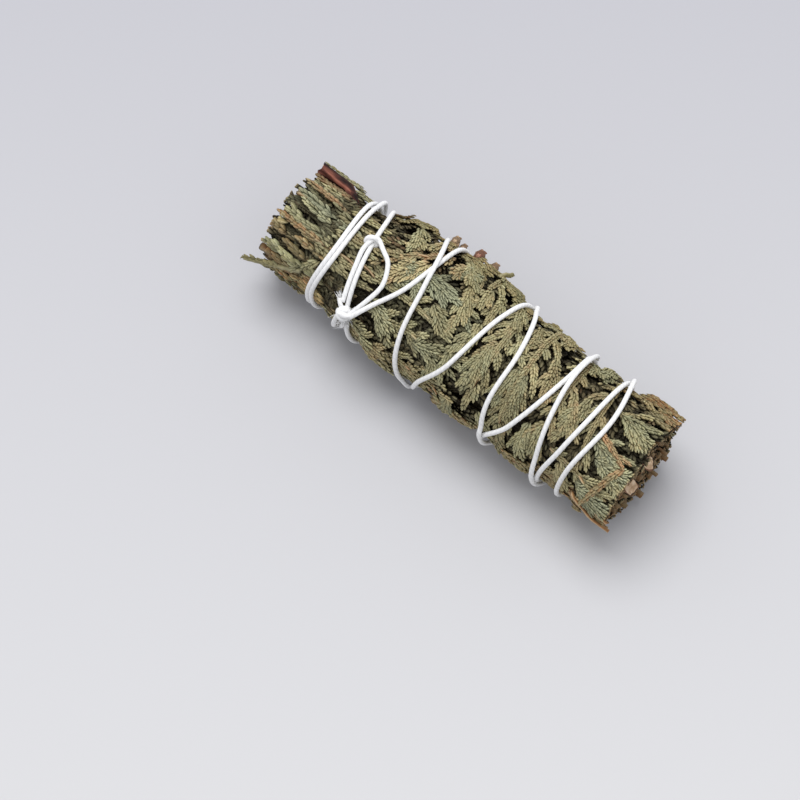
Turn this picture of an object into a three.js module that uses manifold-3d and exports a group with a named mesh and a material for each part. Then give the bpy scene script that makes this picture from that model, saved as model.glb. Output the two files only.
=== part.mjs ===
// Cedar smudge stick: dried cedar sprays packed round woody twigs and bound with one length of
// white cotton string. Millimetres. The stick lies on its flattened side along X, with the knotted
// end at -X and +Z up.
import * as THREE from "three";
import { mergeVertices } from "three/addons/utils/BufferGeometryUtils.js";
import Module from "manifold-3d";

const wasm = await Module();
wasm.setup();

// Driving dimensions
const leftEnd = -50; // trimmed end beside the knot
const rightEnd = 49; // trimmed far end
const axisHeight = 13.4; // stick axis above the flat it lies on
const restTrim = 0.8; // how far the ridges underneath are pressed flat
const faceTurn = 17; // degrees from straight up to the side where a = 0
const girth = [[-50, 12.6], [-35, 13.9], [-20, 14.9], [-2, 15.2], [16, 15.2], [34, 15.2], [49, 14.5]];
const shoulder = { x: -11, reach: 14, rise: 2.4 }; // bulge along a = -90
const ripple = 0.3; // unevenness of the outer face
const stringRadius = 0.6;
const stringDepth = 0.6; // string centre below the outer face
const grooveDepth = 1.6; // how far the string draws the sprays in
const grooveFlat = 2.2; // half width of the drawn in strip
const grooveEdge = 4.8; // where the sprays are back at the outer face
const gap = 0.35; // clearance between neighbours
const layerDepth = [0, 3.05]; // top of each layer of sprays below the outer face
const bladeRise = [1.8, 1.0]; // height of the blades of each layer
const grooveRise = 1.0; // height of an outer blade under the string
const coreDepth = 4.45; // top of the inner sprays
const coreCentre = 2.7; // radius of the middle inner spray

const rad = THREE.MathUtils.degToRad;
const { clamp, lerp, smoothstep } = THREE.MathUtils;

// One repeatable random sequence for the whole stick
let seed = 20;
function draw(low, high) {
  seed = (seed * 16807) % 2147483647;
  return lerp(low, high, seed / 2147483647);
}

// Value of a curve through [position, value] rows
function along(rows, at) {
  const last = rows.length - 1;
  if (at <= rows[0][0]) return rows[0][1];
  if (at >= rows[last][0]) return rows[last][1];
  const i = rows.findIndex((row) => row[0] > at) - 1;
  const [x0, y0] = rows[i];
  const [x1, y1] = rows[i + 1];
  const slope = (j) => {
    const [xa, ya] = rows[Math.max(j - 1, 0)];
    const [xb, yb] = rows[Math.min(j + 1, last)];
    return (yb - ya) / (xb - xa);
  };
  const t = (at - x0) / (x1 - x0);
  const span = x1 - x0;
  const t2 = t * t;
  const t3 = t2 * t;
  return (2 * t3 - 3 * t2 + 1) * y0 + (t3 - 2 * t2 + t) * span * slope(i)
    + (3 * t2 - 2 * t3) * y1 + (t3 - t2) * span * slope(i + 1);
}

// Share of straight down in the direction a
const downShare = (a) => -Math.cos(rad(a + faceTurn));

// Outer face of the bundle: radius at x along the stick and angle a round it
function outerRadius(x, a) {
  const turn = rad(a);
  const bulge = Math.max(0, Math.cos(turn + Math.PI / 2)) ** 1.5;
  const lumps = ripple * (Math.sin(2 * turn + 0.09 * x) + Math.sin(3 * turn - 0.17 * x + 1));
  const round = along(girth, x) + lumps
    + shoulder.rise * bulge * Math.exp(-(((x - shoulder.x) / shoulder.reach) ** 2));
  const down = downShare(a);
  if (down < 0.1) return round;
  const flat = axisHeight / down;
  const corner = Math.max(2 - Math.abs(round - flat), 0) / 2;
  return Math.min(round, flat) - 0.5 * corner * corner;
}

// Point of the bundle at a depth below its outer face
function place(x, a, depth) {
  const r = outerRadius(x, a) - depth;
  const turn = rad(a + faceTurn);
  return new THREE.Vector3(x, -r * Math.sin(turn), axisHeight + r * Math.cos(turn));
}

// Millimetres round the bundle for one degree
const perDegree = rad(14.6);

// Route of the string: [degrees wound, x], out to the far end and back to the knot
const routeOut = [
  [45, -25.4], [90, -27.4], [180, -31.2], [270, -36.2], [360, -34.2], [429, -35.8], [540, -36.4],
  [630, -34.5], [720, -32.5], [789, -34.1], [900, -33.8], [986, -32.3], [1033, -29.5],
  [1080, -27.2], [1125, -24.6], [1170, -22.2], [1260, -20.6], [1350, -18.2], [1412, -13.1],
  [1475, -10.6], [1513, -8.6], [1620, -1.0], [1710, 7.8], [1778, 13.4], [1835, 14.3],
  [1890, 16.6], [1980, 20.6], [2070, 25.3], [2137, 26.6], [2199, 29.0], [2250, 30.5],
  [2340, 32.4], [2430, 35.2], [2501, 39.1], [2563, 37.1], [2610, 36.3], [2700, 36.4],
];
const routeBack = [
  [2700, 36.4], [2790, 35.0], [2864, 35.1], [2906, 33.7], [2950, 31.4], [3060, 28.4],
  [3150, 25.0], [3216, 25.4], [3280, 20.9], [3315, 16.0], [3420, 10.8], [3510, 6.2],
  [3558, 5.0], [3623, 2.5], [3670, -3.0], [3780, -8.6], [3870, -13.2], [3919, -13.6],
  [3954, -15.7], [3985, -19.9], [4005, -22.8],
];
// Ear of the bow, from the knot up over the string and back down beside it: [a, x, lift]
const ear = [
  [48, -23.6, 0.9], [24, -21.0, 0.2], [4, -19.9, 0], [-14, -21.8, 0.2], [-22, -25.0, 0.6],
  [-26, -28.3, 1.3], [-14, -29.8, 0.5], [4, -28.6, 0], [22, -28.0, 0], [38, -26.2, 0.8],
];
const knotAt = { a: 45, x: -24.4, lift: 0.6 };
const hitchAt = { a: -23, x: -28.6, lift: 0.35 };

// Samples of every strand on the unrolled face, for the groove
const strands = [];
for (const route of [routeOut, routeBack])
  for (let w = route[0][0]; w < route[route.length - 1][0]; w += 5) strands.push([w % 360, along(route, w)]);
for (const [a, x] of ear) strands.push([(a + 360) % 360, x]);

const roundTurn = (a) => a - 360 * Math.round(a / 360);

function stringDistance(x, a) {
  let nearest = Infinity;
  for (const [sa, sx] of strands) {
    const across = roundTurn(a - sa) * perDegree;
    nearest = Math.min(nearest, Math.hypot(across, x - sx));
  }
  return nearest;
}

// How much of the drawing in is felt: 1 under the string, 0 away from it
const groove = (x, a) => 1 - smoothstep(stringDistance(x, a), grooveFlat, grooveEdge);

// Solids
function solidFrom(geometry) {
  geometry.deleteAttribute("normal");
  geometry.deleteAttribute("uv");
  const merged = mergeVertices(geometry, 1e-4);
  const vertProperties = new Float32Array(merged.attributes.position.array);
  const triVerts = new Uint32Array(merged.index.array);
  return new wasm.Manifold(new wasm.Mesh({ numProp: 3, vertProperties, triVerts }));
}

function geometryFrom(solid) {
  const mesh = solid.getMesh();
  return new THREE.BufferGeometry()
    .setAttribute("position", new THREE.BufferAttribute(mesh.vertProperties, 3))
    .setIndex(new THREE.BufferAttribute(mesh.triVerts, 1));
}

const joined = (solids) => solids.reduce((sum, next) => sum.add(next));

// The largest body of a solid, without the scraps that a cut leaves
const largest = (solid) => solid.decompose().reduce((a, b) => (b.volume() > a.volume() ? b : a));

// Solid from points and triangles, turned so that its faces look outward
function solidOf(points, index) {
  let volume = 0;
  for (let k = 0; k < index.length; k += 3)
    volume += points[index[k]].dot(points[index[k + 1]].clone().cross(points[index[k + 2]]));
  if (volume < 0) index.reverse();
  const flat = new Float32Array(points.flatMap((p) => p.toArray()));
  return solidFrom(new THREE.BufferGeometry()
    .setAttribute("position", new THREE.BufferAttribute(flat, 3))
    .setIndex(index));
}

// A closed skin from rings of points, with flat or pointed ends
function skin(rings) {
  const points = rings.flat();
  const index = [];
  const start = [];
  rings.reduce((sum, ring) => (start.push(sum), sum + ring.length), 0);
  for (let i = 0; i + 1 < rings.length; i++) {
    const n = Math.max(rings[i].length, rings[i + 1].length);
    for (let k = 0; k < n; k++) {
      const k2 = (k + 1) % n;
      const [p, q] = [start[i], start[i + 1]];
      if (rings[i].length === n && rings[i + 1].length === n)
        index.push(p + k, q + k, p + k2, p + k2, q + k, q + k2);
      else if (rings[i + 1].length === 1) index.push(p + k, q, p + k2);
      else index.push(p, q + k, q + k2);
    }
  }
  const cap = (at, n, flip) => {
    for (let k = 1; k + 1 < n; k++) index.push(at, flip ? at + k : at + k + 1, flip ? at + k + 1 : at + k);
  };
  if (rings[0].length > 1) cap(start[0], rings[0].length, true);
  const end = rings.length - 1;
  if (rings[end].length > 1) cap(start[end], rings[end].length, false);
  return solidOf(points, index);
}

// Millimetres to walk from (x, a), heading in degrees from +X towards +a
function walk(x, a, heading, length) {
  return [x + Math.cos(rad(heading)) * length, a + (Math.sin(rad(heading)) * length) / perDegree];
}

// Points of a line that bends evenly, at even steps
function bentLine({ x, a, heading, bend, length }, steps) {
  const points = [[x, a, heading]];
  for (let i = 0; i < steps; i++) {
    const way = heading + (bend * (i + 0.5)) / steps;
    [x, a] = walk(x, a, way, length / steps);
    points.push([x, a, heading + (bend * (i + 1)) / steps]);
  }
  return points;
}

// Points along the lines already laid in each layer, with the spray that owns them
const laid = layerDepth.map(() => []);

function lay(layer, owner, line, half, stem = false) {
  const steps = Math.ceil(line.length);
  bentLine(line, steps).forEach(([x, a], i) =>
    laid[layer].push({ x, a, half, owner, stem, outer: i > steps * 0.25 }));
}

// Length of a line that stays clear of every other spray and of the outer parts of its own shoots,
// on its own side of the middle between two stems, and inside the trimmed ends
function clearLength(layer, owner, line, half) {
  const steps = Math.ceil(line.length / 0.5);
  const points = bentLine(line, steps);
  for (let i = 2; i <= steps; i++) {
    const [x, a] = points[i];
    let [ownStem, otherStem] = [Infinity, Infinity];
    let blocked = x < leftEnd || x > rightEnd;
    for (const p of laid[layer]) {
      if (Math.abs(x - p.x) > 12) continue;
      const away = Math.hypot(roundTurn(a - p.a) * perDegree, x - p.x);
      if (p.owner !== owner) blocked ||= away < p.half + half + gap;
      else if (p.outer && !p.stem && i > steps * 0.25) blocked ||= away < p.half + half + 0.1;
      if (p.stem && p.owner === owner) ownStem = Math.min(ownStem, away);
      else if (p.stem) otherStem = Math.min(otherStem, away);
    }
    if (blocked || (ownStem < Infinity && otherStem < ownStem + half * 0.5))
      return (line.length * (i - 1)) / steps - half * 0.4;
  }
  return line.length;
}

const shootAngle = [52, 30]; // side shoots to their stem, at its foot and at its tip
const shootCurl = 18; // how far a shoot turns forward
const stemHalf = [0.6, 0.55];

// First every stem, cut short where it would meet another
function planStem(spray, owner) {
  const { layer } = spray;
  const clear = clearLength(layer, owner, spray, stemHalf[layer]);
  spray.owner = owner;
  spray.segments = Math.max(3, Math.floor((2 * clear) / spray.spacing));
  spray.bend *= clear / spray.length;
  spray.length = (spray.segments * spray.spacing) / 2;
  spray.stations = bentLine(spray, spray.segments);
  spray.shoots = [];
  lay(layer, owner, spray, stemHalf[layer], true);
}

// Then one shoot of every spray in turn, each as long as its room allows
function planShoot(spray, i) {
  if (i >= spray.segments) return;
  const side = i % 2 ? 1 : -1;
  const t = i / spray.segments;
  const angle = lerp(...shootAngle, t) + draw(-3, 3);
  const apart = spray.spacing * Math.sin(rad(angle - shootCurl / 2));
  const half = (apart - gap) / 2;
  const outline = Math.sin(Math.PI * clamp(0.22 + 0.72 * t, 0, 1)) ** 0.6;
  const [xa, aa, heading] = spray.stations[i];
  const [xb, ab] = spray.stations[i + 1];
  const line = {
    x: (xa + xb) / 2,
    a: (aa + ab) / 2,
    heading: heading + side * angle,
    bend: -side * shootCurl,
    length: spray.wide * outline * draw(0.9, 1.12),
  };
  const length = clearLength(spray.layer, spray.owner, line, half);
  if (length < 2.6) return;
  line.bend *= length / line.length;
  line.length = length;
  lay(spray.layer, spray.owner, line, half);
  spray.shoots[i] = { ...line, half, side };
}

// The last shoot carries on from the stem
function planTip(spray) {
  const [x, a, heading] = spray.stations[spray.segments];
  const line = { x, a, heading, bend: spray.bend / 3, length: spray.wide * 0.8 };
  const half = 0.6;
  line.length = Math.max(1.5, clearLength(spray.layer, spray.owner, line, half));
  lay(spray.layer, spray.owner, line, half, true);
  spray.tip = { ...line, half };
}

// Three points across a blade: both edges and the raised keel
function crossSection(layer, x, a, heading, half) {
  const drawn = layer ? 0 : groove(x, a);
  const pressed = layer ? 0 : restTrim * smoothstep(downShare(a), 0.55, 0.85);
  const depth = layer ? layerDepth[layer] : lerp(-pressed, grooveDepth, drawn);
  const rise = layer ? bladeRise[layer] : lerp(bladeRise[0] + pressed, grooveRise, drawn);
  const dx = -Math.sin(rad(heading)) * half;
  const da = (Math.cos(rad(heading)) * half) / perDegree;
  return [place(x + dx, a + da, depth + rise), place(x - dx, a - da, depth + rise), place(x, a, depth)];
}

// [share of the length, share of the half width] of shoots with plump scale leaves, and of hidden ones
const scaly = [[0.32, 1], [0.52, 0.62], [0.78, 0.9]];
const plain = [[0.38, 1], [0.8, 0.7]];

// Half width that keeps a blade off its own stem, for a point beside the stem
function roomBesideStem(spray, x, a, heading) {
  let nearest = Infinity;
  let lean = 0;
  for (const [sx, sa, stemHeading] of spray.middleLine) {
    const away = Math.hypot(roundTurn(a - sa) * perDegree, x - sx);
    if (away < nearest) [nearest, lean] = [away, heading - stemHeading];
  }
  return Math.max(0.2, (nearest - stemHalf[0] - 0.4) / Math.max(Math.cos(rad(lean)), 0.2));
}

// A spray as one closed skin: a stem of triangles, and every shoot grown from one face of it
function spraySolid(spray) {
  const { layer, stations, segments } = spray;
  spray.middleLine = [...bentLine(spray, segments * 4), ...bentLine(spray.tip, 16)];
  const points = [];
  const index = [];
  const ring = (x, a, heading, half) => {
    points.push(...crossSection(layer, x, a, heading, half));
    return points.length - 3;
  };
  const quad = (p, q, r, s) => index.push(p, q, r, p, r, s);
  const grow = (line, from, outline, beside) => {
    let last = from;
    const spread = bentLine(line, 50);
    for (const [t, share] of outline) {
      const [x, a, heading] = spread[Math.round(Math.max(t, beside ? 1.8 / line.length : 0) * 50)];
      const room = beside ? roomBesideStem(spray, x, a, heading) : Infinity;
      const next = ring(x, a, heading, Math.min(line.half * share, room));
      for (let k = 0; k < 3 && last !== undefined; k++) {
        const k2 = (k + 1) % 3;
        quad(last + k, last + k2, next + k2, next + k);
      }
      last = next;
    }
    const [x, a, heading] = spread[50];
    const [left, right, keel] = crossSection(layer, x, a, heading, 0.1);
    points.push(left.add(right).multiplyScalar(0.5).lerp(keel, 0.4));
    for (let k = 0; k < 3; k++) index.push(last + k, last + ((k + 1) % 3), points.length - 1);
  };
  const stem = stations.map(([x, a, heading], i) =>
    ring(x, a, heading, stemHalf[layer] * lerp(1.1, 0.75, i / segments)));
  index.push(stem[0], stem[0] + 2, stem[0] + 1);
  for (let i = 0; i < segments; i++) {
    const [p, q] = [stem[i], stem[i + 1]];
    quad(p, p + 1, q + 1, q);
    for (const side of [1, -1]) {
      const shoot = spray.shoots[i];
      const edge = side > 0 ? 0 : 1;
      const corners = side > 0 ? [p + 2, p, q, q + 2] : [q + 2, q + 1, p + 1, p + 2];
      if (!shoot || shoot.side !== side) {
        quad(...corners);
        continue;
      }
      const first = points.length;
      const outline = layer || shoot.length < 5 || Math.abs(roundTurn(shoot.a)) > 115 ? plain : scaly;
      grow(shoot, undefined, outline, true);
      const [left, right, keel] = [first, first + 1, first + 2];
      const [topA, baseA, baseB, topB] = corners;
      const [nearA, nearB] = edge ? [right, left] : [left, right];
      if (side > 0) {
        index.push(topA, baseA, nearA, topA, nearA, keel);
        index.push(baseA, baseB, nearB, baseA, nearB, nearA);
        index.push(baseB, topB, keel, baseB, keel, nearB, topB, topA, keel);
      } else {
        index.push(topA, baseA, nearB, topA, nearB, keel);
        index.push(baseA, baseB, nearA, baseA, nearA, nearB);
        index.push(baseB, topB, keel, baseB, keel, nearA, topB, topA, keel);
      }
    }
  }
  grow(spray.tip, stem[segments], layer ? plain : scaly);
  const whole = solidOf(points, index).trimByPlane([0, 0, 1], 0);
  return largest(spray.strays ? whole.add(straySolid()) : whole);
}

function straySolid() {
  const rings = strayShoot.map(([x, a, depth, half]) => {
    const across = half / perDegree;
    return [place(x, a + across, depth + 0.5), place(x, a, depth + 1), place(x, a - across, depth + 0.5),
      place(x, a, depth)];
  });
  return skin([...rings, [place(...strayTip)]]);
}

// Sprays placed one by one on the side that faces up: x, a, heading, bend, length, side shoots
const placedSprays = [
  // along the stick, cut off at the knotted end
  [-48.8, -84, 3, -4, 27, 9],
  [-49.6, -40, -4, 8, 21, 8],
  [-49, -12, 0, -4, 22, 8],
  [-49.8, 17, 2, -6, 21, 8],
  [-48.4, 45, -3, 6, 20, 8],
  [-49.2, 73, -4, 4, 23, 9],
  // fans either side of the bow
  [-12.5, -64, 128, 12, 18, 8],
  [-24, 2, -4, 12, 20, 9],
  [-22, 33, -10, 8, 24, 9],
  [-21, 64, -4, 6, 24, 9],
  [-13, -33, 8, 20, 11, 7],
  // across the stick, from the shoulder down over the face
  [-19.5, -100, 10, 8, 21, 8],
  [-7.5, -74, 40, 50, 12, 7],
  [-2, -96, 86, 10, 24, 8],
  [7.5, -98, 84, 4, 34, 8],
  [16.5, -94, 90, -6, 38, 8],
  [25.5, -98, 84, 4, 38, 8],
  [34, -92, 86, -8, 31, 8],
  [6, 75, 4, 4, 21, 9],
  // along the stick to the far end
  [36.6, -74, 4, 4, 12, 9],
  [38.3, -36, 12, 2, 11, 9],
  [37.6, 2, 14, -6, 12, 9],
  [31, 36, 10, -8, 19, 9],
  [30, 70, 4, 2, 20, 9],
];

const sprays = placedSprays.map(([x, a, heading, bend, length, wide]) =>
  ({ x, a, heading, bend, length, wide, layer: 0, spacing: 4.3 }));

// Rows of sprays along the stick, for the underside and for the layer below
function addRows({ layer, starts, columns, length, wide, spacing }) {
  starts.forEach((start, row) => columns.forEach((column) => sprays.push({
    x: start + draw(-0.8, 0.8),
    a: column + 6 * (row % 2) + draw(-3, 3),
    heading: draw(-5, 5),
    bend: draw(-8, 8),
    length,
    wide,
    layer,
    spacing,
  })));
}
addRows({ layer: 0, starts: [-49, 0.3], columns: [104, 143, 182, 221], length: 44, wide: 11, spacing: 5 });
const hiddenColumns = [-20, 52, 124, 196, 268];
addRows({ layer: 1, starts: [-49, 0.5], columns: hiddenColumns, length: 46, wide: 16, spacing: 7.4 });

// The thin shoot that strays out past the knotted end: [x, a, depth, half width]
const strayShoot = [
  [-43.5, 73, 0.9, 0.4],
  [-46.8, 73, 0.5, 0.6],
  [-49.4, 72.5, -0.4, 1],
  [-51, 72, -1.3, 0.8],
];
const strayTip = [-53.2, 71, -2.6];
sprays[5].strays = true;

// Woody twigs: position in the cross section as angle a and radius r, span in x, thickness
const twigs = [
  { name: "twig_surface", a: -72, r: 13.2, from: -50.8, to: -38.4, radius: 1.4 },
  { name: "twig_right_upper", a: -32, r: 6.5, from: -12, to: 49.9, radius: 1.6 },
  { name: "twig_right_lower", a: 28, r: 6.5, from: -6, to: 50.5, radius: 1.9 },
  { name: "twig_left_lower", a: 88, r: 6.2, from: -51.2, to: 10, radius: 1.5 },
  { name: "twig_left_back", a: 208, r: 6.0, from: -50.6, to: 30, radius: 1.7 },
];

function twigCentre(twig, x) {
  const t = (x - twig.from) / (twig.to - twig.from);
  const turn = rad(twig.a + faceTurn + 6 * t);
  const r = twig.r + 0.2 * Math.sin(x * 0.21 + twig.a);
  return new THREE.Vector3(x, -r * Math.sin(turn), axisHeight + r * Math.cos(turn));
}

// Eight sided bar along a twig, a little thicker at its nodes
function twigSolid(twig, grow = 0, overrun = 0) {
  const sides = 8;
  const stops = Math.max(4, Math.round((twig.to - twig.from) / 10));
  const rings = [];
  for (let i = 0; i <= stops; i++) {
    const x = lerp(twig.from - overrun, twig.to + overrun, i / stops);
    const centre = twigCentre(twig, x);
    const knuckle = grow ? 0.12 : 0.12 * (i % 2);
    const radius = twig.radius + knuckle + grow;
    rings.push(Array.from({ length: sides }, (_, k) => {
      const turn = (k / sides) * 2 * Math.PI;
      return centre.clone().add(new THREE.Vector3(0, -radius * Math.cos(turn), radius * Math.sin(turn)));
    }));
  }
  return skin(rings);
}

// Inner sprays: one in the middle and a ring of folded bundles round it, with ragged ends
const innerCount = 6;
const folds = 9; // points across the outer face of a bundle

// Cut stems and leaf tips that stand out of both ends of a bundle: [a from its middle, radius]
const stubSpots = [[-18, 6.3], [3, 6.5], [18, 6.1], [-12, 4.6], [9, 4.5]];
const middleStubSpots = [[40, 1.2], [220, 1.3]];

function clearOfTwigs(a, r, end) {
  const x = end > 0 ? rightEnd : leftEnd;
  const turn = rad(a + faceTurn);
  const spot = new THREE.Vector3(x, -r * Math.sin(turn), axisHeight + r * Math.cos(turn));
  return twigs.every((twig) => x < twig.from - 6 || x > twig.to + 6
    || twigCentre(twig, x).distanceTo(spot) > twig.radius + gap + 1.2);
}

function stubSolid(a, r, end, out) {
  const radius = draw(0.7, 1);
  const turn = rad(a + faceTurn);
  const stations = [[-3, radius], [draw(0.8, 2.4), radius * 0.8]];
  return skin(stations.map(([ahead, size]) => {
    const centre = new THREE.Vector3(out + end * ahead, -r * Math.sin(turn), axisHeight + r * Math.cos(turn));
    const skew = ahead > 0 ? 0.5 : 0;
    return Array.from({ length: 4 }, (_, k) => {
      const way = ((k + 4 * radius) / 4) * 2 * Math.PI;
      const lean = skew * Math.cos(way + a);
      return centre.clone().add(new THREE.Vector3(lean, size * Math.cos(way), size * Math.sin(way)));
    });
  }));
}

function innerSolid(index) {
  const middle = index === innerCount;
  const width = 360 / innerCount;
  const reach = middle ? 5 : 8;
  const ends = [leftEnd + draw(0, 1.6), rightEnd - draw(0, 1.6)];
  const rings = [];
  for (let step = 0; step <= reach; step++) {
    const x = lerp(ends[0], ends[1], step / reach);
    const ring = [];
    const point = (a, r) => {
      const turn = rad(a + faceTurn);
      ring.push(new THREE.Vector3(x, -r * Math.sin(turn), axisHeight + r * Math.cos(turn)));
    };
    if (middle)
      for (let k = 0; k < 10; k++) point(k * 36 + 12 * step, coreCentre - 0.6 * (k % 2));
    else {
      const margin = 1.2;
      const from = index * width + margin;
      for (let k = 0; k < folds; k++) {
        const a = from + ((width - 2 * margin) * k) / (folds - 1);
        const fold = (k + step) % 2 ? 0.95 : 0;
        point(a, outerRadius(x, a) - coreDepth - fold);
      }
      const inset = 3.2;
      point(from + width - 2 * margin - inset, coreCentre + gap);
      point(from + width / 2 - margin, coreCentre + gap + 0.25);
      point(from + inset, coreCentre + gap);
    }
    rings.push(ring);
  }
  const centre = middle ? 0 : (index + 0.5) * width;
  const spots = middle ? middleStubSpots : stubSpots;
  const stubs = [[1, ends[1]], [-1, ends[0]]]
    .flatMap(([end, out]) => spots.map(([a, r]) => [centre + a, r, end, out]))
    .filter((stub) => clearOfTwigs(...stub))
    .map((stub) => stubSolid(...stub));
  return joined([skin(rings), ...stubs]);
}

// Small woody buds at the shoulder of the stick: [x, a, radius]
const buds = [[-16.6, -89, 1.15], [-14.9, -97, 0.95], [-10.1, -89, 1.4], [-6, -92, 1.2]];

// A bud with its foot sunk between the sprays
function budSolid([x, a, radius]) {
  const base = place(x, a, 0.6);
  const out = place(x, a, -2).sub(base).normalize();
  const side = new THREE.Vector3(1, 0, 0);
  const other = out.clone().cross(side);
  const outline = [[-0.9, 0.5], [0, 0.8], [0.7, 1], [1.4, 0.8], [1.85, 0]];
  return skin(outline.map(([height, share], row) => {
    const centre = base.clone().addScaledVector(out, height * radius);
    if (!share) return [centre];
    return Array.from({ length: 6 }, (_, k) => {
      const turn = ((k + 0.5 * (row % 2)) * Math.PI) / 3;
      return centre.clone()
        .addScaledVector(side, radius * share * Math.cos(turn))
        .addScaledVector(other, radius * share * Math.sin(turn));
    });
  }));
}

// String
function stringPoint(a, x, lift) {
  const p = place(x, a, stringDepth - lift);
  p.z = Math.max(p.z, stringRadius + 0.05);
  return p;
}

// How far the second and third windings rise where they pass over the first: [degrees wound]
const humps = [608, 930];
const humpLift = (w) => 1.3 * Math.max(...humps.map((at) => 1 - smoothstep(Math.abs(w - at), 18, 44)));

// How far an outgoing strand rises where it crosses a returning one
function crossingLift(w, x) {
  let nearest = Infinity;
  const last = routeBack[routeBack.length - 1][0];
  for (let v = 2720 + ((w - 2720) % 360 + 360) % 360; v < last; v += 360)
    nearest = Math.min(nearest, Math.abs(x - along(routeBack, v)));
  return (2 * stringRadius - 0.1) * (1 - smoothstep(nearest, 0.8, 3.2));
}

function tube(points, steps, sides = 5) {
  const outline = new THREE.Shape(Array.from({ length: sides }, (_, k) => {
    const turn = (k / sides) * 2 * Math.PI;
    return new THREE.Vector2(stringRadius * Math.cos(turn), stringRadius * Math.sin(turn));
  }));
  const extrudePath = new THREE.CatmullRomCurve3(points, false, "centripetal");
  return solidFrom(new THREE.ExtrudeGeometry(outline, { steps, extrudePath, bevelEnabled: false }));
}

function windings(route, liftAt) {
  const [first, last] = [route[0][0], route[route.length - 1][0]];
  const count = Math.round((last - first) / 10);
  const points = Array.from({ length: count + 1 }, (_, i) => {
    const w = lerp(first, last, i / count);
    const x = along(route, w);
    return stringPoint(w, x, liftAt(w, x));
  });
  return tube(points, Math.round(count / 2));
}

// Loops of string pulled tight at one spot: each tipped, turned and raised a little
function looped({ a, x, lift }, turns, radius) {
  const centre = stringPoint(a, x, lift);
  const out = place(x, a, -2).sub(place(x, a, 0)).normalize();
  const facing = new THREE.Quaternion().setFromUnitVectors(new THREE.Vector3(0, 0, 1), out);
  return turns.map(([tip, spin, rise]) => {
    const ring = new THREE.TorusGeometry(radius, stringRadius, 5, 7);
    ring.rotateX(tip);
    ring.rotateZ(spin);
    ring.applyQuaternion(facing);
    const at = centre.clone().addScaledVector(out, rise);
    ring.translate(at.x, at.y, at.z);
    return solidFrom(ring);
  });
}

function knotHeart() {
  const { a, x, lift } = knotAt;
  const heart = new THREE.IcosahedronGeometry(1.35, 1);
  heart.translate(...stringPoint(a, x, lift).toArray());
  return solidFrom(heart);
}

function stringSolid() {
  const startLift = (w) => 1.5 * (1 - smoothstep(w, 50, 100));
  const endFade = (w) => 1 - smoothstep(w, 2620, 2680);
  const outLift = (w, x) => Math.max(startLift(w), humpLift(w), crossingLift(w, x) * endFade(w));
  const endLift = (w) => 1.3 * smoothstep(w, 3975, 4000);
  const tails = [
    [[47, -24.4, 0.9], [58, -24.0, 0.9], [68, -24.6, 0.3]],
    [[43, -24.8, 1.1], [35, -28, 1.3], [29, -30.4, 0.6]],
  ];
  return joined([
    windings(routeOut, outLift),
    windings(routeBack, endLift),
    tube(ear.map(([a, x, lift]) => stringPoint(a, x, lift)), 13),
    ...tails.map((tail) => tube(tail.map((p) => stringPoint(...p)), 3)),
    knotHeart(),
    ...looped(knotAt, [[1.25, 0.2, 0.5]], 1.0),
    ...looped(hitchAt, [[1.35, 0.5, 0.1]], 0.8),
  ]);
}

// Assembly
const materials = {
  foliage: new THREE.MeshStandardMaterial({ color: 0x6e6c4e, roughness: 0.85, metalness: 0 }),
  inner: new THREE.MeshStandardMaterial({ color: 0x4a4530, roughness: 0.9, metalness: 0 }),
  bark: new THREE.MeshStandardMaterial({ color: 0x6b4030, roughness: 0.75, metalness: 0 }),
  bud: new THREE.MeshStandardMaterial({ color: 0x7d5646, roughness: 0.8, metalness: 0 }),
  cotton: new THREE.MeshStandardMaterial({ color: 0xf1f0ec, roughness: 0.9, metalness: 0 }),
};

const stick = new THREE.Group();

function add(name, solid, material) {
  const mesh = new THREE.Mesh(geometryFrom(solid), material);
  mesh.name = name;
  stick.add(mesh);
}

// Both layers of sprays keep clear of the twig at the surface, and the outer one of the buds
for (let x = -52; x <= -37; x++)
  for (const layer of laid) layer.push({ x, a: -69, half: 1.9, owner: "twig" });
for (const [x, a, radius] of buds) laid[0].push({ x, a, half: radius, owner: "bud" });

sprays.forEach((spray, i) => planStem(spray, i));
sprays.forEach(planTip);
for (let i = 0; i < 30; i++) sprays.forEach((spray) => planShoot(spray, i));

const layerNames = ["outer_spray", "middle_spray"];
const counts = [0, 0];
for (const spray of sprays) {
  counts[spray.layer] += 1;
  const number = String(counts[spray.layer]).padStart(2, "0");
  add(`${layerNames[spray.layer]}_${number}`, spraySolid(spray), materials.foliage);
}

const twigHoles = joined(twigs.slice(1).map((twig) => twigSolid(twig, gap, 6)));
for (let i = 0; i <= innerCount; i++)
  add(`inner_spray_${i + 1}`, largest(innerSolid(i).subtract(twigHoles)), materials.inner);
for (const twig of twigs) add(twig.name, twigSolid(twig), materials.bark);
buds.forEach((bud, i) => add(`bud_${i + 1}`, budSolid(bud), materials.bud));
add("cotton_string", stringSolid(), materials.cotton);

// Origin below the middle of the stick
const box = new THREE.Box3().setFromObject(stick);
const middle = box.getCenter(new THREE.Vector3());
for (const mesh of stick.children) mesh.geometry.translate(-middle.x, -middle.y, -box.min.z);

export default stick;
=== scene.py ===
# Cedar smudge stick: dried cedar sprays round woody twigs, bound with white cotton string
import math
import random

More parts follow.
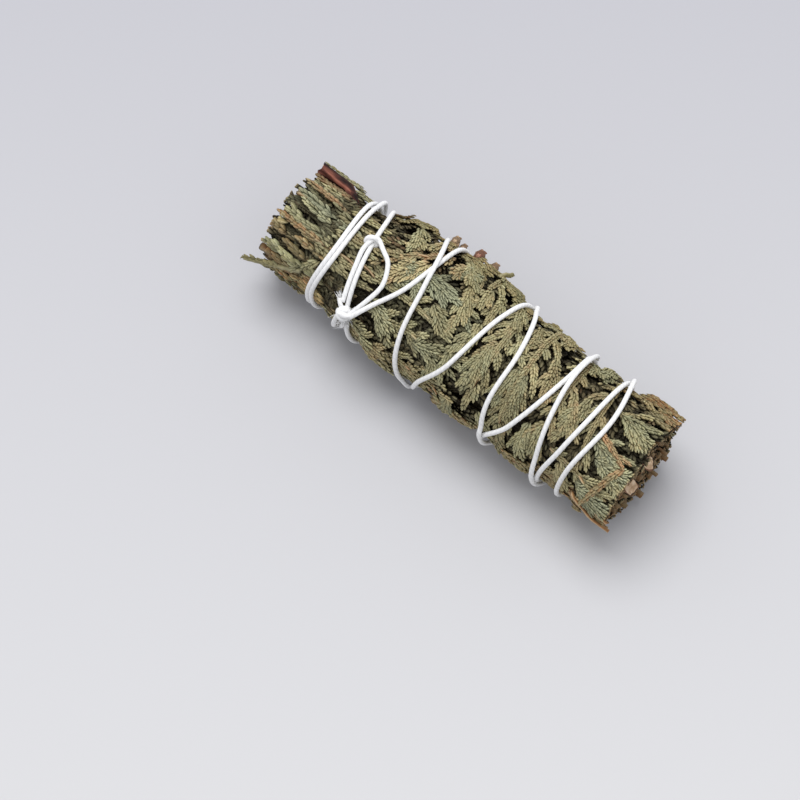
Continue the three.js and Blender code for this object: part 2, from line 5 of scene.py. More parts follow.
import bpy
import numpy as np
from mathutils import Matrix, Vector


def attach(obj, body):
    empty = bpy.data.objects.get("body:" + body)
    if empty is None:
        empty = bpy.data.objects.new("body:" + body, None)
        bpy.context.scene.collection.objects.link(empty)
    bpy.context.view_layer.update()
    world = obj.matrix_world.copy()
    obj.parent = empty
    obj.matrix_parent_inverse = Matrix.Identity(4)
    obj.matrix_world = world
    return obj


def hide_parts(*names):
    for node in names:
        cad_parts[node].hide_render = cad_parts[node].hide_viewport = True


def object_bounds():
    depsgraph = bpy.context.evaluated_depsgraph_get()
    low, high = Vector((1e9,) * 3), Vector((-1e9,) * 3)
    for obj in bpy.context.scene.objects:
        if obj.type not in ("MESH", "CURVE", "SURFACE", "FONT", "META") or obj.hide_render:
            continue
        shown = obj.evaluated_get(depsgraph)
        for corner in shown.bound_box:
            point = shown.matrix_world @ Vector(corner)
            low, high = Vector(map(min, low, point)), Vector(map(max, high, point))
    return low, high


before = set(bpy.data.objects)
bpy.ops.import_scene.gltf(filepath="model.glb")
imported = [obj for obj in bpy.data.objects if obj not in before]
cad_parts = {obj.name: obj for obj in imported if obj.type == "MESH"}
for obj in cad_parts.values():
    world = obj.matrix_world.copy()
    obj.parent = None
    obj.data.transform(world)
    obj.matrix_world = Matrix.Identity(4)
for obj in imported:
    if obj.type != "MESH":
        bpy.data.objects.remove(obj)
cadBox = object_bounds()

bpy.ops.object.select_all(action="DESELECT")

# The bundle's shape as the solids have it, in millimetres and degrees
bundle = {
    "leftEnd": -50,
    "rightEnd": 49,
    "axisHeight": 13.4,
    "faceTurn": 17,
    "girth": [(-50, 12.6), (-35, 13.9), (-20, 14.9), (-2, 15.2), (16, 15.2), (34, 15.2), (49, 14.5)],
    "meanRadius": 14.6,
    "shoulder": (-11, 14, 2.4),
    "ripple": 0.3,
    "flatCorner": 2,
    "grooveDepth": 1.25,
    "grooveSides": (2.2, 4.8),
    "gap": 0.35,
    "middle": (-0.9621, 1.2333),
}
perDegree = math.radians(bundle["meanRadius"])
far = 1e9

# The string's route: degrees wound, place along the bundle. The bow's ear: degrees, place, lift
routeOut = [
    (45, -25.4), (90, -27.4), (180, -31.2), (270, -36.2), (360, -34.2), (429, -35.8), (540, -36.4),
    (630, -34.5), (720, -32.5), (789, -34.1), (900, -33.8), (986, -32.3), (1033, -29.5),
    (1080, -27.2), (1125, -24.6), (1170, -22.2), (1260, -20.6), (1350, -18.2), (1412, -13.1),
    (1475, -10.6), (1513, -8.6), (1620, -1), (1710, 7.8), (1778, 13.4), (1835, 14.3),
    (1890, 16.6), (1980, 20.6), (2070, 25.3), (2137, 26.6), (2199, 29), (2250, 30.5),
    (2340, 32.4), (2430, 35.2), (2501, 39.1), (2563, 37.1), (2610, 36.3), (2700, 36.4),
]
routeBack = [
    (2700, 36.4), (2790, 35), (2864, 35.1), (2906, 33.7), (2950, 31.4), (3060, 28.4),
    (3150, 25), (3216, 25.4), (3280, 20.9), (3315, 16), (3420, 10.8), (3510, 6.2),
    (3558, 5), (3623, 2.5), (3670, -3), (3780, -8.6), (3870, -13.2), (3919, -13.6),
    (3954, -15.7), (3985, -19.9), (4005, -22.8),
]
ear = [
    (48, -23.6, 0.9), (24, -21.4, 0.2), (4, -20.5, 0), (-14, -22.3, 0.2), (-22, -25.3, 0.6),
    (-26, -28, 1.3), (-14, -29.1, 0.5), (4, -28.2, 0), (22, -27.2, 0), (38, -26.1, 0.8),
]


def lerp(a, b, t):
    return a + (b - a) * t


def smoothstep(value, low, high):
    t = np.clip((np.asarray(value, float) - low) / (high - low), 0, 1)
    return t * t * (3 - 2 * t)


def unit(v):
    return v / np.maximum(np.linalg.norm(v, axis=-1, keepdims=True), 1e-12)


def roundTurn(a):
    return a - 360 * np.round(np.asarray(a, float) / 360)


def curveThrough(rows, at):
    xs, ys = np.array(rows, float).T
    at = np.clip(np.asarray(at, float), xs[0], xs[-1])
    every = np.arange(len(xs))
    before, after = np.maximum(every - 1, 0), np.minimum(every + 1, len(xs) - 1)
    slope = (ys[after] - ys[before]) / (xs[after] - xs[before])
    i = np.clip(np.searchsorted(xs, at, side="right") - 1, 0, len(xs) - 2)
    span = xs[i + 1] - xs[i]
    t = (at - xs[i]) / span
    t2, t3 = t * t, t * t * t
    return ((2 * t3 - 3 * t2 + 1) * ys[i] + (t3 - 2 * t2 + t) * span * slope[i]
            + (3 * t2 - 2 * t3) * ys[i + 1] + (t3 - t2) * span * slope[i + 1])


def curveColumns(spots, count):
    # Smooth columns of numbers through the rows of a few spots
    at = np.linspace(0, len(spots) - 1, count)
    return [curveThrough(list(enumerate(column)), at) for column in zip(*spots)]


def outerRadius(x, a):
    x, a = np.asarray(x, float), np.asarray(a, float)
    turn = np.radians(a)
    at, reach, rise = bundle["shoulder"]
    bulge = np.maximum(0, np.cos(turn + np.pi / 2)) ** 1.5
    lumps = bundle["ripple"] * (np.sin(2 * turn + 0.09 * x) + np.sin(3 * turn - 0.17 * x + 1))
    full = curveThrough(bundle["girth"], x) + lumps + rise * bulge * np.exp(-(((x - at) / reach) ** 2))
    down = -np.cos(np.radians(a + bundle["faceTurn"]))
    flat = bundle["axisHeight"] / np.maximum(down, 0.1)
    corner = np.maximum(bundle["flatCorner"] - np.abs(full - flat), 0) / 2
    return np.where(down < 0.1, full, np.minimum(full, flat) - 0.5 * corner * corner)


def fromAxis(x, a, r):
    # Point in millimetres: along the bundle, degrees round it, distance from its axis
    turn = np.radians(a + bundle["faceTurn"])
    midX, midY = bundle["middle"]
    return np.stack([x - midX, -r * np.sin(turn) - midY, bundle["axisHeight"] + r * np.cos(turn)], -1)


def place(x, a, depth=0):
    # Point in metres at a depth below the bundle's outer face
    x, a, depth = np.broadcast_arrays(*(np.asarray(v, float) for v in (x, a, depth)))
    return fromAxis(x, a, outerRadius(x, a) - depth) / 1000


def outwardAt(x, a):
    return unit(place(x, a, -2) - place(x, a))


def surfaceFrames(x, a, depth, heading):
    # Place, direction, side and outward normal of lines that run over the bundle
    at = place(x, a, depth)
    alongX = unit(place(x + 0.1, a, depth) - at)
    alongA = unit(place(x, a + 0.1 / perDegree, depth) - at)
    normal = unit(np.cross(alongA, alongX))
    h = np.radians(heading)[:, None]
    forward = unit(np.cos(h) * alongX + np.sin(h) * alongA)
    return at, forward, np.cross(forward, normal), normal


woundAt = [(w % 360, float(curveThrough(route, w))) for route in (routeOut, routeBack)
           for w in range(route[0][0], route[-1][0], 5)]
woundAt = np.array(woundAt + [(a % 360, x) for a, x, lift in ear])


def groove(x, a, batch=4000):
    # How deep the string presses the leaves down: whole under it, nothing away from it
    nearest = np.full(len(x), far)
    for start in range(0, len(x), batch):
        part = slice(start, start + batch)
        across = roundTurn(a[part, None] - woundAt[None, :, 0]) * perDegree
        nearest[part] = np.hypot(across, x[part, None] - woundAt[None, :, 1]).min(1)
    return bundle["grooveDepth"] * (1 - smoothstep(nearest, *bundle["grooveSides"]))


def depthBelow(points):
    # How deep in millimetres each point lies under the outer face and its grooves
    x, y, z = (points * 1000 + np.array([*bundle["middle"], -bundle["axisHeight"]])).T
    a = np.degrees(np.arctan2(-y, z)) - bundle["faceTurn"]
    return outerRadius(x, a) - np.hypot(y, z) - groove(x, a)


# Lines over the bundle: place along it, degrees round it, heading in degrees from +X towards a rising
# angle, an even bend, length
def makeLine(x, a, heading, bend, length):
    return {"x": x, "a": a, "heading": heading, "bend": bend, "length": length}


def walk(line, s):
    start = math.radians(line["heading"])
    turn = math.radians(line["bend"]) / line["length"]
    if abs(turn) < 1e-5:
        dx, dy = math.cos(start) * s, math.sin(start) * s
    else:
        dx = (math.sin(start + turn * s) - math.sin(start)) / turn
        dy = (math.cos(start) - math.cos(start + turn * s)) / turn
    return line["x"] + dx, line["a"] + dy / perDegree, line["heading"] + line["bend"] * s / line["length"]


def bentLine(line, steps):
    return [walk(line, line["length"] * i / steps) for i in range(steps + 1)]


class Draws:
    # The same repeatable draws that the solids use
    modulus = 2147483647

    def __init__(self, seed):
        self.seed = seed

    def draw(self, low, high):
        self.seed = (self.seed * 16807) % self.modulus
        return low + (high - low) * self.seed / self.modulus


# How the sprays grow: each stops before it meets what is laid already, as in the solids
growth = {
    "stemHalf": (0.6, 0.55),
    "tipShare": 0.8,
    "shortestTip": 1.5,
    "shootAngle": (52, 30),
    "shootCurl": 18,
    "shortestShoot": 2.6,
    "mostShoots": 30,
    "ownFrom": 0.25,
    "nearby": 12,
}
layout = Draws(20)
laid = [[], []]


def layDown(spray, line, half, stem=False):
    steps = math.ceil(line["length"])
    for i, (x, a, heading) in enumerate(bentLine(line, steps)):
        laid[spray["layer"]].append((x, a, half, spray["owner"], stem, i > steps * growth["ownFrom"]))


def clearLength(spray, line, half):
    steps = math.ceil(line["length"] / 0.5)
    points = np.array(bentLine(line, steps))[2:]
    laidX, laidA, laidHalf, owner, stem, free = np.array(laid[spray["layer"]], float).T
    dx = points[:, 0:1] - laidX[None]
    away = np.hypot(roundTurn(points[:, 1:2] - laidA[None]) * perDegree, dx)
    away[np.abs(dx) > growth["nearby"]] = far
    mine, stem = owner == spray["owner"], stem > 0
    blocked = ((away < (laidHalf + half + bundle["gap"])[None]) & ~mine[None]).any(1)
    ownShoot = mine & ~stem & (free > 0)
    pastFoot = np.arange(2, steps + 1) > steps * growth["ownFrom"]
    blocked |= ((away < (laidHalf + half + 0.1)[None]) & ownShoot[None]).any(1) & pastFoot
    blocked |= (points[:, 0] < bundle["leftEnd"]) | (points[:, 0] > bundle["rightEnd"])
    toOwn = np.where((mine & stem)[None], away, far).min(1)
    toOther = np.where((~mine & stem)[None], away, far).min(1)
    stop = blocked | ((toOwn < far / 10) & (toOther < toOwn + half * 0.5))
    if not stop.any():
        return line["length"]
    i = int(np.argmax(stop)) + 2
    return line["length"] * (i - 1) / steps - half * 0.4


def planStem(spray):
    half = growth["stemHalf"][spray["layer"]]
    clear = clearLength(spray, spray, half)
    spray["segments"] = max(3, math.floor(2 * clear / spray["spacing"]))
    spray["bend"] *= clear / spray["length"]
    spray["length"] = spray["segments"] * spray["spacing"] / 2
    spray["stations"] = bentLine(spray, spray["segments"])
    layDown(spray, spray, half, True)


def planTip(spray):
    half = growth["stemHalf"][0]
    line = makeLine(*spray["stations"][-1], spray["bend"] / 3, spray["wide"] * growth["tipShare"])
    line["length"] = max(growth["shortestTip"], clearLength(spray, line, half))
    layDown(spray, line, half, True)
    spray["tip"] = line


def planShoot(spray, i):
    if i >= spray["segments"]:
        return
    side = 1 if i % 2 else -1
    t = i / spray["segments"]
    curl = growth["shootCurl"]
    angle = lerp(*growth["shootAngle"], t) + layout.draw(-3, 3)
    apart = spray["spacing"] * math.sin(math.radians(angle - curl / 2))
    half = (apart - bundle["gap"]) / 2
    outline = math.sin(math.pi * min(1, 0.22 + 0.72 * t)) ** 0.6
    (xa, aa, heading), (xb, ab, _) = spray["stations"][i], spray["stations"][i + 1]
    line = makeLine((xa + xb) / 2, (aa + ab) / 2, heading + side * angle, -side * curl,
                    spray["wide"] * outline * layout.draw(0.9, 1.12))
    length = clearLength(spray, line, half)
    spray["wanted"].append(dict(line, t=t, side=side, kept=max(0, length)))
    if length >= growth["shortestShoot"]:
        line["bend"] *= length / line["length"]
        line["length"] = length
        layDown(spray, line, half)
        spray["shoots"].append(line)


# The face's sprays: x, a, heading, bend, length, side shoots, then tone from dry tan 0 to grey green 1
placedSprays = [
    (-48.8, -84, 3, -4, 27, 9, 0.35),
    (-49.6, -40, -4, 8, 21, 8, 0.45),
    (-49, -12, 0, -4, 22, 8, 0.6),
    (-49.8, 17, 2, -6, 21, 8, 0.7),
    (-48.4, 45, -3, 6, 20, 8, 0.4),
    (-49.2, 73, -4, 4, 23, 9, 0.5),
    (-12.5, -64, 128, 12, 18, 8, 0.25),
    (-24, 2, -4, 12, 20, 9, 0.6),
    (-22, 33, -10, 8, 24, 9, 0.65),
    (-21, 64, -4, 6, 24, 9, 0.45),
    (-13, -33, 8, 20, 11, 7, 0.9),
    (-19.5, -100, 10, 8, 21, 8, 0.35),
    (-7.5, -74, 40, 50, 12, 7, 0.4),
    (-2, -96, 86, 10, 24, 8, 0.45),
    (7.5, -98, 84, 4, 34, 8, 0.5),
    (16.5, -94, 90, -6, 38, 8, 0.45),
    (25.5, -98, 84, 4, 38, 8, 0.35),
    (34, -92, 86, -8, 31, 8, 0.4),
    (6, 75, 4, 4, 21, 9, 0.4),
    (36.6, -74, 4, 4, 12, 9, 0.2),
    (38.3, -36, 12, 2, 11, 9, 0.6),
    (37.6, 2, 14, -6, 12, 9, 0.75),
    (31, 36, 10, -8, 19, 9, 0.5),
    (30, 70, 4, 2, 20, 9, 0.3),
]
buds = [(-16.6, -89, 1.15), (-14.9, -97, 0.95), (-10.1, -89, 1.4), (-6, -92, 1.2)]
sprays = []


def addSpray(layer, spacing, x, a, heading, bend, length, wide, tone):
    sprays.append(dict(makeLine(x, a, heading, bend, length), wide=wide, tone=tone, layer=layer,
                       spacing=spacing, owner=len(sprays), wanted=[], shoots=[]))


def addRows(layer, starts, columns, length, wide, spacing):
    for row, start in enumerate(starts):
        for column in columns:
            addSpray(layer, spacing, start + layout.draw(-0.8, 0.8), column + 6 * (row % 2) + layout.draw(-3, 3),
                     layout.draw(-5, 5), layout.draw(-8, 8), length, wide, 0.45)


for row in placedSprays:
    addSpray(0, 4.3, *row)
addRows(0, (-49, 0.3), (104, 143, 182, 221), 44, 11, 5)
addRows(1, (-49, 0.5), (-20, 52, 124, 196, 268), 46, 16, 7.4)
# Kept clear: the twig at the surface, and the buds in the outer layer
for rows in laid:
    rows.extend((x, -69, 1.9, -1, False, False) for x in range(-52, -36))
laid[0].extend((x, a, radius, -1, False, False) for x, a, radius in buds)
for spray in sprays:
    planStem(spray)
for spray in sprays:
    planTip(spray)
for i in range(growth["mostShoots"]):
    for spray in sprays:
        planShoot(spray, i)
print("layout planned:", len(sprays), "sprays", sum(len(s["shoots"]) for s in sprays), "side shoots")


# Materials: every piece carries a tint attribute (tone, lightness, a share of painted shade for how deep it sits)
# and a UV map with u across and v along a scale leaf, a stem or the string
class Shading:
    def __init__(self, name, roughness, specular=0.5):
        self.material = bpy.data.materials.new(name)
        self.material.use_nodes = True
        self.tree = self.material.node_tree
        self.shader = self.tree.nodes["Principled BSDF"]
        self.feed(self.shader, {"Roughness": roughness, "Specular IOR Level": specular})

    def feed(self, node, values):
        # values: a number, a colour or another node's output, by input name or number
        for key, value in values.items():
            if isinstance(value, bpy.types.NodeSocket):
                self.tree.links.new(value, node.inputs[key])
            else:
                node.inputs[key].default_value = (*value, 1) if isinstance(value, tuple) else value

    def node(self, kind, values, **settings):
        node = self.tree.nodes.new("ShaderNode" + kind)
        for name, value in settings.items():
            setattr(node, name, value)
        self.feed(node, values)
        return node

    def math(self, operation, a, b=0):
        return self.node("Math", {0: a, 1: b}, operation=operation).outputs[0]

    def plus(self, a, b):
        return self.math("ADD", a, b)

    def times(self, a, b):
        return self.math("MULTIPLY", a, b)

    def mix(self, blend, share, a, b):
        return self.node("Mix", {0: share, 6: a, 7: b}, data_type="RGBA", blend_type=blend).outputs[2]

    def noise(self, vector, scale, detail):
        return self.node("TexNoise", {"Vector": vector, "Scale": scale, "Detail": detail}).outputs["Fac"]

    def ramp(self, value, stops):
        # stops: place and colour, or place and one number for a grey
        node = self.node("ValToRGB", {0: value})
        elements = node.color_ramp.elements
        stops = [(at, (*np.broadcast_to(colour, 3).tolist(), 1)) for at, colour in stops]
        for element, (at, colour) in zip(elements, (stops[0], stops[-1])):
            element.position, element.color = at, colour
        for at, colour in stops[1:-1]:
            elements.new(at).color = colour
        return node.outputs[0]

    def objectSpot(self):
        return self.node("TexCoord", {}).outputs["Object"]

    def uv(self):
        return self.node("SeparateXYZ", {0: self.node("UVMap", {}).outputs[0]}).outputs[:2]

    def tint(self):
        colour = self.node("Attribute", {}, attribute_name="tint").outputs["Color"]
        return self.node("SeparateColor", {0: colour}).outputs[:3]

    def finish(self, colour, height, distance, strength):
        bump = self.node("Bump", {"Height": height, "Distance": distance, "Strength": strength})
        self.feed(self.shader, {"Base Color": colour, "Normal": bump.outputs[0]})
        return self.material


foliageLook = {
    "tones": [(0, (0.3, 0.145, 0.057)), (0.18, (0.28, 0.206, 0.094)), (0.42, (0.255, 0.222, 0.105)),
              (0.7, (0.216, 0.212, 0.11)), (1, (0.185, 0.202, 0.125))],
    "blotches": 260,
    # Paler band across each leaf: partly its own pale margin, partly a painted highlight on its raised shoulder
    "pale": (0.68, 0.62, 0.41),
    "paleShare": 0.4,
    "paleAcross": [(0.15, 0), (0.4, 1), (0.62, 0.8), (0.85, 0)],
    # Dark colour across each leaf: its darker gland line down the middle, and painted shade along its sides where
    # it meets its neighbours
    "crease": (0.06, 0.048, 0.022),
    "creaseShare": 0.45,
    "creaseAcross": [(0, 0.5), (0.14, 0), (0.86, 0), (1, 0.6)],
    # Along each leaf: painted shade at its foot, where it tucks under the leaf before it, and lighter towards its
    # tip
    "lightAlong": [(0, 0.3), (0.3, 0.85), (0.5, 1.05), (0.85, 1.25), (1, 1.1)],
    "speckles": 1400,
    "speckle": [(0.3, 0.78), (0.7, 1.15)],
    # Near-black colour of the painted shade on leaves that sit deep among the others
    "deep": (0.012, 0.009, 0.004),
    "roughness": 0.62,
    "grain": 2600,
}


def foliageMaterial(name, **changes):
    look = dict(foliageLook, **changes)
    m = Shading(name, look["roughness"], 0.18)
    (tone, light, deep), (u, v), spot = m.tint(), m.uv(), m.objectSpot()
    blotch = m.times(m.plus(m.noise(spot, look["blotches"], 3), -0.5), 0.5)
    colour = m.ramp(m.plus(tone, blotch), look["tones"])
    across = m.times(m.math("ABSOLUTE", m.plus(u, -0.5)), 2)
    # The paler band with its painted highlight, then the darker gland line and the painted shade at the leaf's
    # sides
    for part in ("pale", "crease"):
        share = m.times(m.ramp(across, look[part + "Across"]), look[part + "Share"])
        colour = m.mix("MIX", share, colour, look[part])
    # Painted shade at each leaf's foot, lighter towards its tip
    colour = m.mix("MULTIPLY", 1, colour, m.ramp(v, look["lightAlong"]))
    colour = m.mix("MULTIPLY", 1, colour, m.ramp(m.noise(spot, look["speckles"], 3), look["speckle"]))
    colour = m.node("HueSaturation", {"Color": colour, "Value": light}).outputs[0]
    # Painted shade: the tint's third channel mixes the colour towards near-black
    colour = m.mix("MIX", deep, colour, look["deep"])
    return m.finish(colour, m.noise(spot, look["grain"], 2), 0.00012, 0.6)


foliage = foliageMaterial("cedar foliage")
triangleCount = {}


# Meshes put together from parts: points, face corners, corners per face, UV per corner, tint per point
def makePart(points, corners, sizes, uv, tint):
    return {"points": points, "corners": corners, "sizes": sizes, "uv": uv, "tint": tint}


def handOver(piece, name):
    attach(piece, "root")
    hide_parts(name)
    triangleCount[name] = len(piece.data.loops) - 2 * len(piece.data.polygons)


def finishPiece(name, parts, material, floor=0.00004):
    starts = np.cumsum([0] + [len(part["points"]) for part in parts])
    joined = {key: np.concatenate([part[key] for part in parts]) for key in ("points", "sizes", "uv", "tint")}
    corners = np.concatenate([part["corners"] + start for part, start in zip(parts, starts)])
    sizes = joined["sizes"]
    low, high = np.array(cadBox)
    points = np.clip(joined["points"], low + (0, 0, floor), high)
    mesh = bpy.data.meshes.new(name)
    mesh.vertices.add(len(points))
    mesh.vertices.foreach_set("co", points.astype(np.float32).ravel())
    mesh.loops.add(len(corners))
    mesh.loops.foreach_set("vertex_index", corners.astype(np.int32))
    mesh.polygons.add(len(sizes))
    mesh.polygons.foreach_set("loop_start", (np.cumsum(sizes) - sizes).astype(np.int32))
    mesh.update(calc_edges=True)
    mesh.uv_layers.new(name="UVMap").uv.foreach_set("vector", joined["uv"].astype(np.float32).ravel())
    tint = mesh.color_attributes.new("tint", "FLOAT_COLOR", "POINT")
    tint.data.foreach_set("color", joined["tint"].astype(np.float32).ravel())
    mesh.shade_smooth()
    mesh.materials.append(material)
    piece = bpy.data.objects.new(name, mesh)
    bpy.context.scene.collection.objects.link(piece)
    handOver(piece, name)


# One scale leaf, modelled once: foot at the origin, pointing along +Y, face up, one unit long and wide.
# Each change picks points by their place and scales them about a centre
leafShape = [
    (lambda co: co.y < 0.28, (0.6, 1, 0.6), (0, 0.1, 0)),
    (lambda co: 0.72 < co.y < 0.99, (0.92, 1, 0.92), (0, 0.9, 0)),
    (lambda co: co.z < -0.01, (1, 1, 0.45), (0, 0.5, 0)),
    (lambda co: co.z > 0.01, (1, 1, 1.1), (0, 0.5, 0)),
]


def setMode(mode):
    bpy.ops.object.mode_set(mode=mode)


def pick(piece, test):
    setMode("OBJECT")
    for v in piece.data.vertices:
        v.select = test(v.co)
    for part in (*piece.data.edges, *piece.data.polygons):
        part.select = all(piece.data.vertices[i].select for i in part.vertices)
    setMode("EDIT")


def modelScaleLeaf(sides, rings):
    seamTurn = -math.pi * (0.5 - 2 / sides * round(sides / 4))
    bpy.ops.mesh.primitive_uv_sphere_add(segments=sides, ring_count=rings, radius=0.5, location=(0, 0.5, 0),
                                         rotation=(-math.pi / 2, seamTurn, 0))
    leaf = bpy.context.object
    bpy.ops.object.transform_apply(location=True, rotation=True, scale=True)
    setMode("EDIT")
    for test, scale, centre in leafShape:
        pick(leaf, test)
        bpy.ops.transform.resize(value=scale, center_override=centre)
    setMode("OBJECT")
    points = np.array([v.co[:] for v in leaf.data.vertices])
    corners, uv, sizes = [], [], []
    for face in leaf.data.polygons:
        wide = [0.5 + 0.5 * np.sign(points[i, 0]) * (abs(points[i, 0]) > 0.02) for i in face.vertices]
        pole = [math.hypot(points[i, 0], points[i, 2]) < 0.01 for i in face.vertices]
        mean = sum(w for w, p in zip(wide, pole) if not p) / max(1, pole.count(False))
        for i, w, p in zip(face.vertices, wide, pole):
            corners.append(i)
            uv.append((mean if p else w, min(1, max(0, points[i, 1]))))
        sizes.append(len(face.vertices))
    bpy.data.objects.remove(leaf)
    return makePart(points, np.array(corners), np.array(sizes), np.array(uv), None)


fineLeaf, plainLeaf = modelScaleLeaf(5, 4), modelScaleLeaf(4, 4)


def copies(template, at, side, forward, normal, size, tint):
    # Copies of a template: size is width, length and thickness in metres for each
    n, count = len(at), len(template["points"])
    local = template["points"][None] * size[:, None, :]
    axes = enumerate((side, forward, normal))
    points = at[:, None] + sum(local[..., k:k + 1] * axis[:, None] for k, axis in axes)
    corners = template["corners"][None] + (np.arange(n) * count)[:, None]
    return makePart(points.reshape(-1, 3), corners.ravel(), np.tile(template["sizes"], n),
                    np.tile(template["uv"], (n, 1)), np.repeat(tint, count, 0))


def tubePart(centres, radii, sides, tint, normals, twist=0, ply=0):
    # A closed tube through points in metres, with an optional twist of three plies
    rows, k = len(centres), np.arange(sides)
    radii = np.broadcast_to(np.asarray(radii, float), (rows,))
    tangent = unit(np.gradient(centres, axis=0))
    side = unit(np.cross(tangent, normals))
    up = np.cross(side, tangent)
    run = np.concatenate([[0], np.cumsum(np.linalg.norm(np.diff(centres, axis=0), axis=1))]) * 1000
    turn = k / sides * 2 * np.pi
    ring = (radii[:, None] * (1 + ply * np.cos(3 * (turn[None] - twist * run[:, None]))))[..., None]
    points = centres[:, None] + ring * (np.cos(turn)[:, None] * side[:, None] + np.sin(turn)[:, None] * up[:, None])
    dome = 0.12
    tips = [centres[0] - tangent[0] * radii[0] * dome, centres[-1] + tangent[-1] * radii[-1] * dome]
    points = np.concatenate([points.reshape(-1, 3), tips])
    first, ahead = np.arange(rows - 1)[:, None] * sides, (k + 1) % sides
    quads = np.stack([first + k, first + ahead, first + sides + ahead, first + sides + k], -1)
    last, foot = (rows - 1) * sides, np.full(sides, rows * sides)
    fans = np.stack([foot, ahead, k], -1), np.stack([foot + 1, last + k, last + ahead], -1)
    corners = np.concatenate([quads.ravel(), *(fan.ravel() for fan in fans)])
    u = np.tile(np.stack([k, k + 1, k + 1, k], -1)[None] / sides, (rows - 1, 1, 1)).ravel()
    v = np.stack([run[:-1], run[:-1], run[1:], run[1:]], -1)[:, None].repeat(sides, 1).ravel()
    u = np.concatenate([u, np.full(6 * sides, 0.4)])
    v = np.concatenate([v, np.repeat([0, run[-1]], 3 * sides)])
    sizes = np.repeat([4, 3], [(rows - 1) * sides, 2 * sides])
    return makePart(points, corners, sizes, np.stack([u, v], -1), np.broadcast_to(tint, (len(points), 4)))


def stemTube(x, a, depth, radii, sides, tint):
    return tubePart(place(x, a, depth + groove(x, a)), radii / 1000, sides, tint, outwardAt(x, a))


# Where the leaves are cut off at either end: blocks of uneven length round the stick
trim = {
    "blocks": (7, 20, 40),
    "reachLeft": (-1.8, 1.7),
    "reachRight": (-1.2, 1.3),
    "rightShare": 0.6,
    "rightTop": 1.1,
    "browned": (0.06, 1.2, 0, 1),
}


def trimmedEnd(a, end):
    blocks = np.random.RandomState(3 if end > 0 else 4)
    edges = np.cumsum(blocks.uniform(*trim["blocks"]))
    reach = blocks.uniform(*trim["reachRight" if end > 0 else "reachLeft"], len(edges) + 1)
    lengths = reach[np.searchsorted(edges, (a + 5) % 360)]
    if end < 0:
        return bundle["leftEnd"] - lengths
    top = smoothstep(np.cos(np.radians(a + 10)), 0, 0.5)
    return bundle["rightEnd"] + lengths * trim["rightShare"] + trim["rightTop"] * top


def cutFlat(part, low, high):
    # Presses whatever reaches beyond the cut flat against it and browns it there
    x = part["points"][:, 0] * 1000 + bundle["middle"][0]
    beyond = np.maximum(x - high, low - x)
    part["points"][:, 0] = (np.clip(x, low, high) - bundle["middle"][0]) / 1000
    cut = smoothstep(beyond, -0.3, 0.05)[:, None] * np.array([1, 1, 0.7, 0])
    part["tint"] = part["tint"] * (1 - cut) + np.array(trim["browned"]) * cut
    return part


# How deep the sprays lie in millimetres, and how much painted shade they get there
sprayLook = {
    "faceHalf": 105,
    "strapsBefore": -40,
    "darkens": (0.3, 1.35),
    "darkest": 0.96,
    "plainBelow": 0.85,
    "stemRadius": (0.42, 0.26),
    "outerDepth": (0.8, 0.32),
    "betweenDepth": (1.55, 1.1),
    "underDepth": (1.9, 1.4),
    "middleDepth": (2.5, 1.8),
    "strappedDeep": 0.8,
    "betweenDeep": 0.65,
    "underDeep": 0.75,
    "middleDeep": 0.8,
}


def leafParts(rows, template, trimmed=True):
    # rows: x, a, depth, heading, length, width, thickness, nose up, roll, tone, light, painted shade
    rows = np.array(rows)
    if trimmed:
        middle = rows[:, 0] + 0.6 * rows[:, 4] * np.cos(np.radians(rows[:, 3]))
        rows = rows[(middle < trimmedEnd(rows[:, 1], 1)) & (middle > trimmedEnd(rows[:, 1], -1))]
    x, a, depth, heading, length, width, thick, nose, roll, tone, light, deep = rows.T
    at, forward, side, normal = surfaceFrames(x, a, depth + groove(x, a), heading)
    p, q = np.radians(nose)[:, None], np.radians(roll)[:, None]
    ahead = np.cos(p) * forward + np.sin(p) * normal
    up = np.cos(p) * normal - np.sin(p) * forward
    size = np.stack([width, length, thick], 1) / 1000
    tint = np.stack([tone, light, deep, np.ones(len(x))], 1)
    rolled = np.cos(q) * side + np.sin(q) * up, ahead, np.cos(q) * up - np.sin(q) * side
    leaves = copies(template, at, *rolled, size, tint)
    # Painted shade: leaves darken the deeper they sit under the outer face and the string's grooves
    sunk = smoothstep(depthBelow(leaves["points"]), *sprayLook["darkens"])
    leaves["tint"][:, 2] = np.maximum(leaves["tint"][:, 2], sprayLook["darkest"] * sunk)
    if trimmed:
        low, high = (np.repeat(trimmedEnd(a, end), len(template["points"])) for end in (-1, 1))
        cutFlat(leaves, low, high)
    return leaves


# Strands of scale leaves by style: pairs of leaves to both sides, and some on the face between them
chance = random.Random(7)
draw = chance.uniform
branchlets = {
    "braid": {"pitch": 0.88, "angle": (26, 15), "leaf": (1.7, 0.88, 0.68), "nose": 8, "face": 0.9},
    "fern": {"pitch": 0.95, "angle": (32, 18), "leaf": (2.1, 0.78, 0.55), "nose": 7, "face": 0.8},
    "strap": {"pitch": 1.3, "angle": (15, 9), "leaf": (2.3, 0.92, 0.65), "nose": 5, "face": 0.75},
    "rope": {"pitch": 1.05, "angle": (15, 9), "leaf": (1.7, 0.72, 0.75), "nose": 4, "face": 1},
    "plain": {"pitch": 1.6, "angle": (30, 20), "leaf": (2.4, 1.15, 0.65), "nose": 8, "face": 0},
}
strandLook = {
    "leafy": 0.93,
    "footApart": 0.16,
    "taper": 0.3,
    "roll": 13,
    "faceLeaf": (1.5, 0.66, 0.45),
    "faceRise": 0.12,
    "toneSpread": 0.12,
}


def vary(spread):
    return draw(-spread, spread)


def scaled(measures, size):
    return [measure * size for measure in measures]


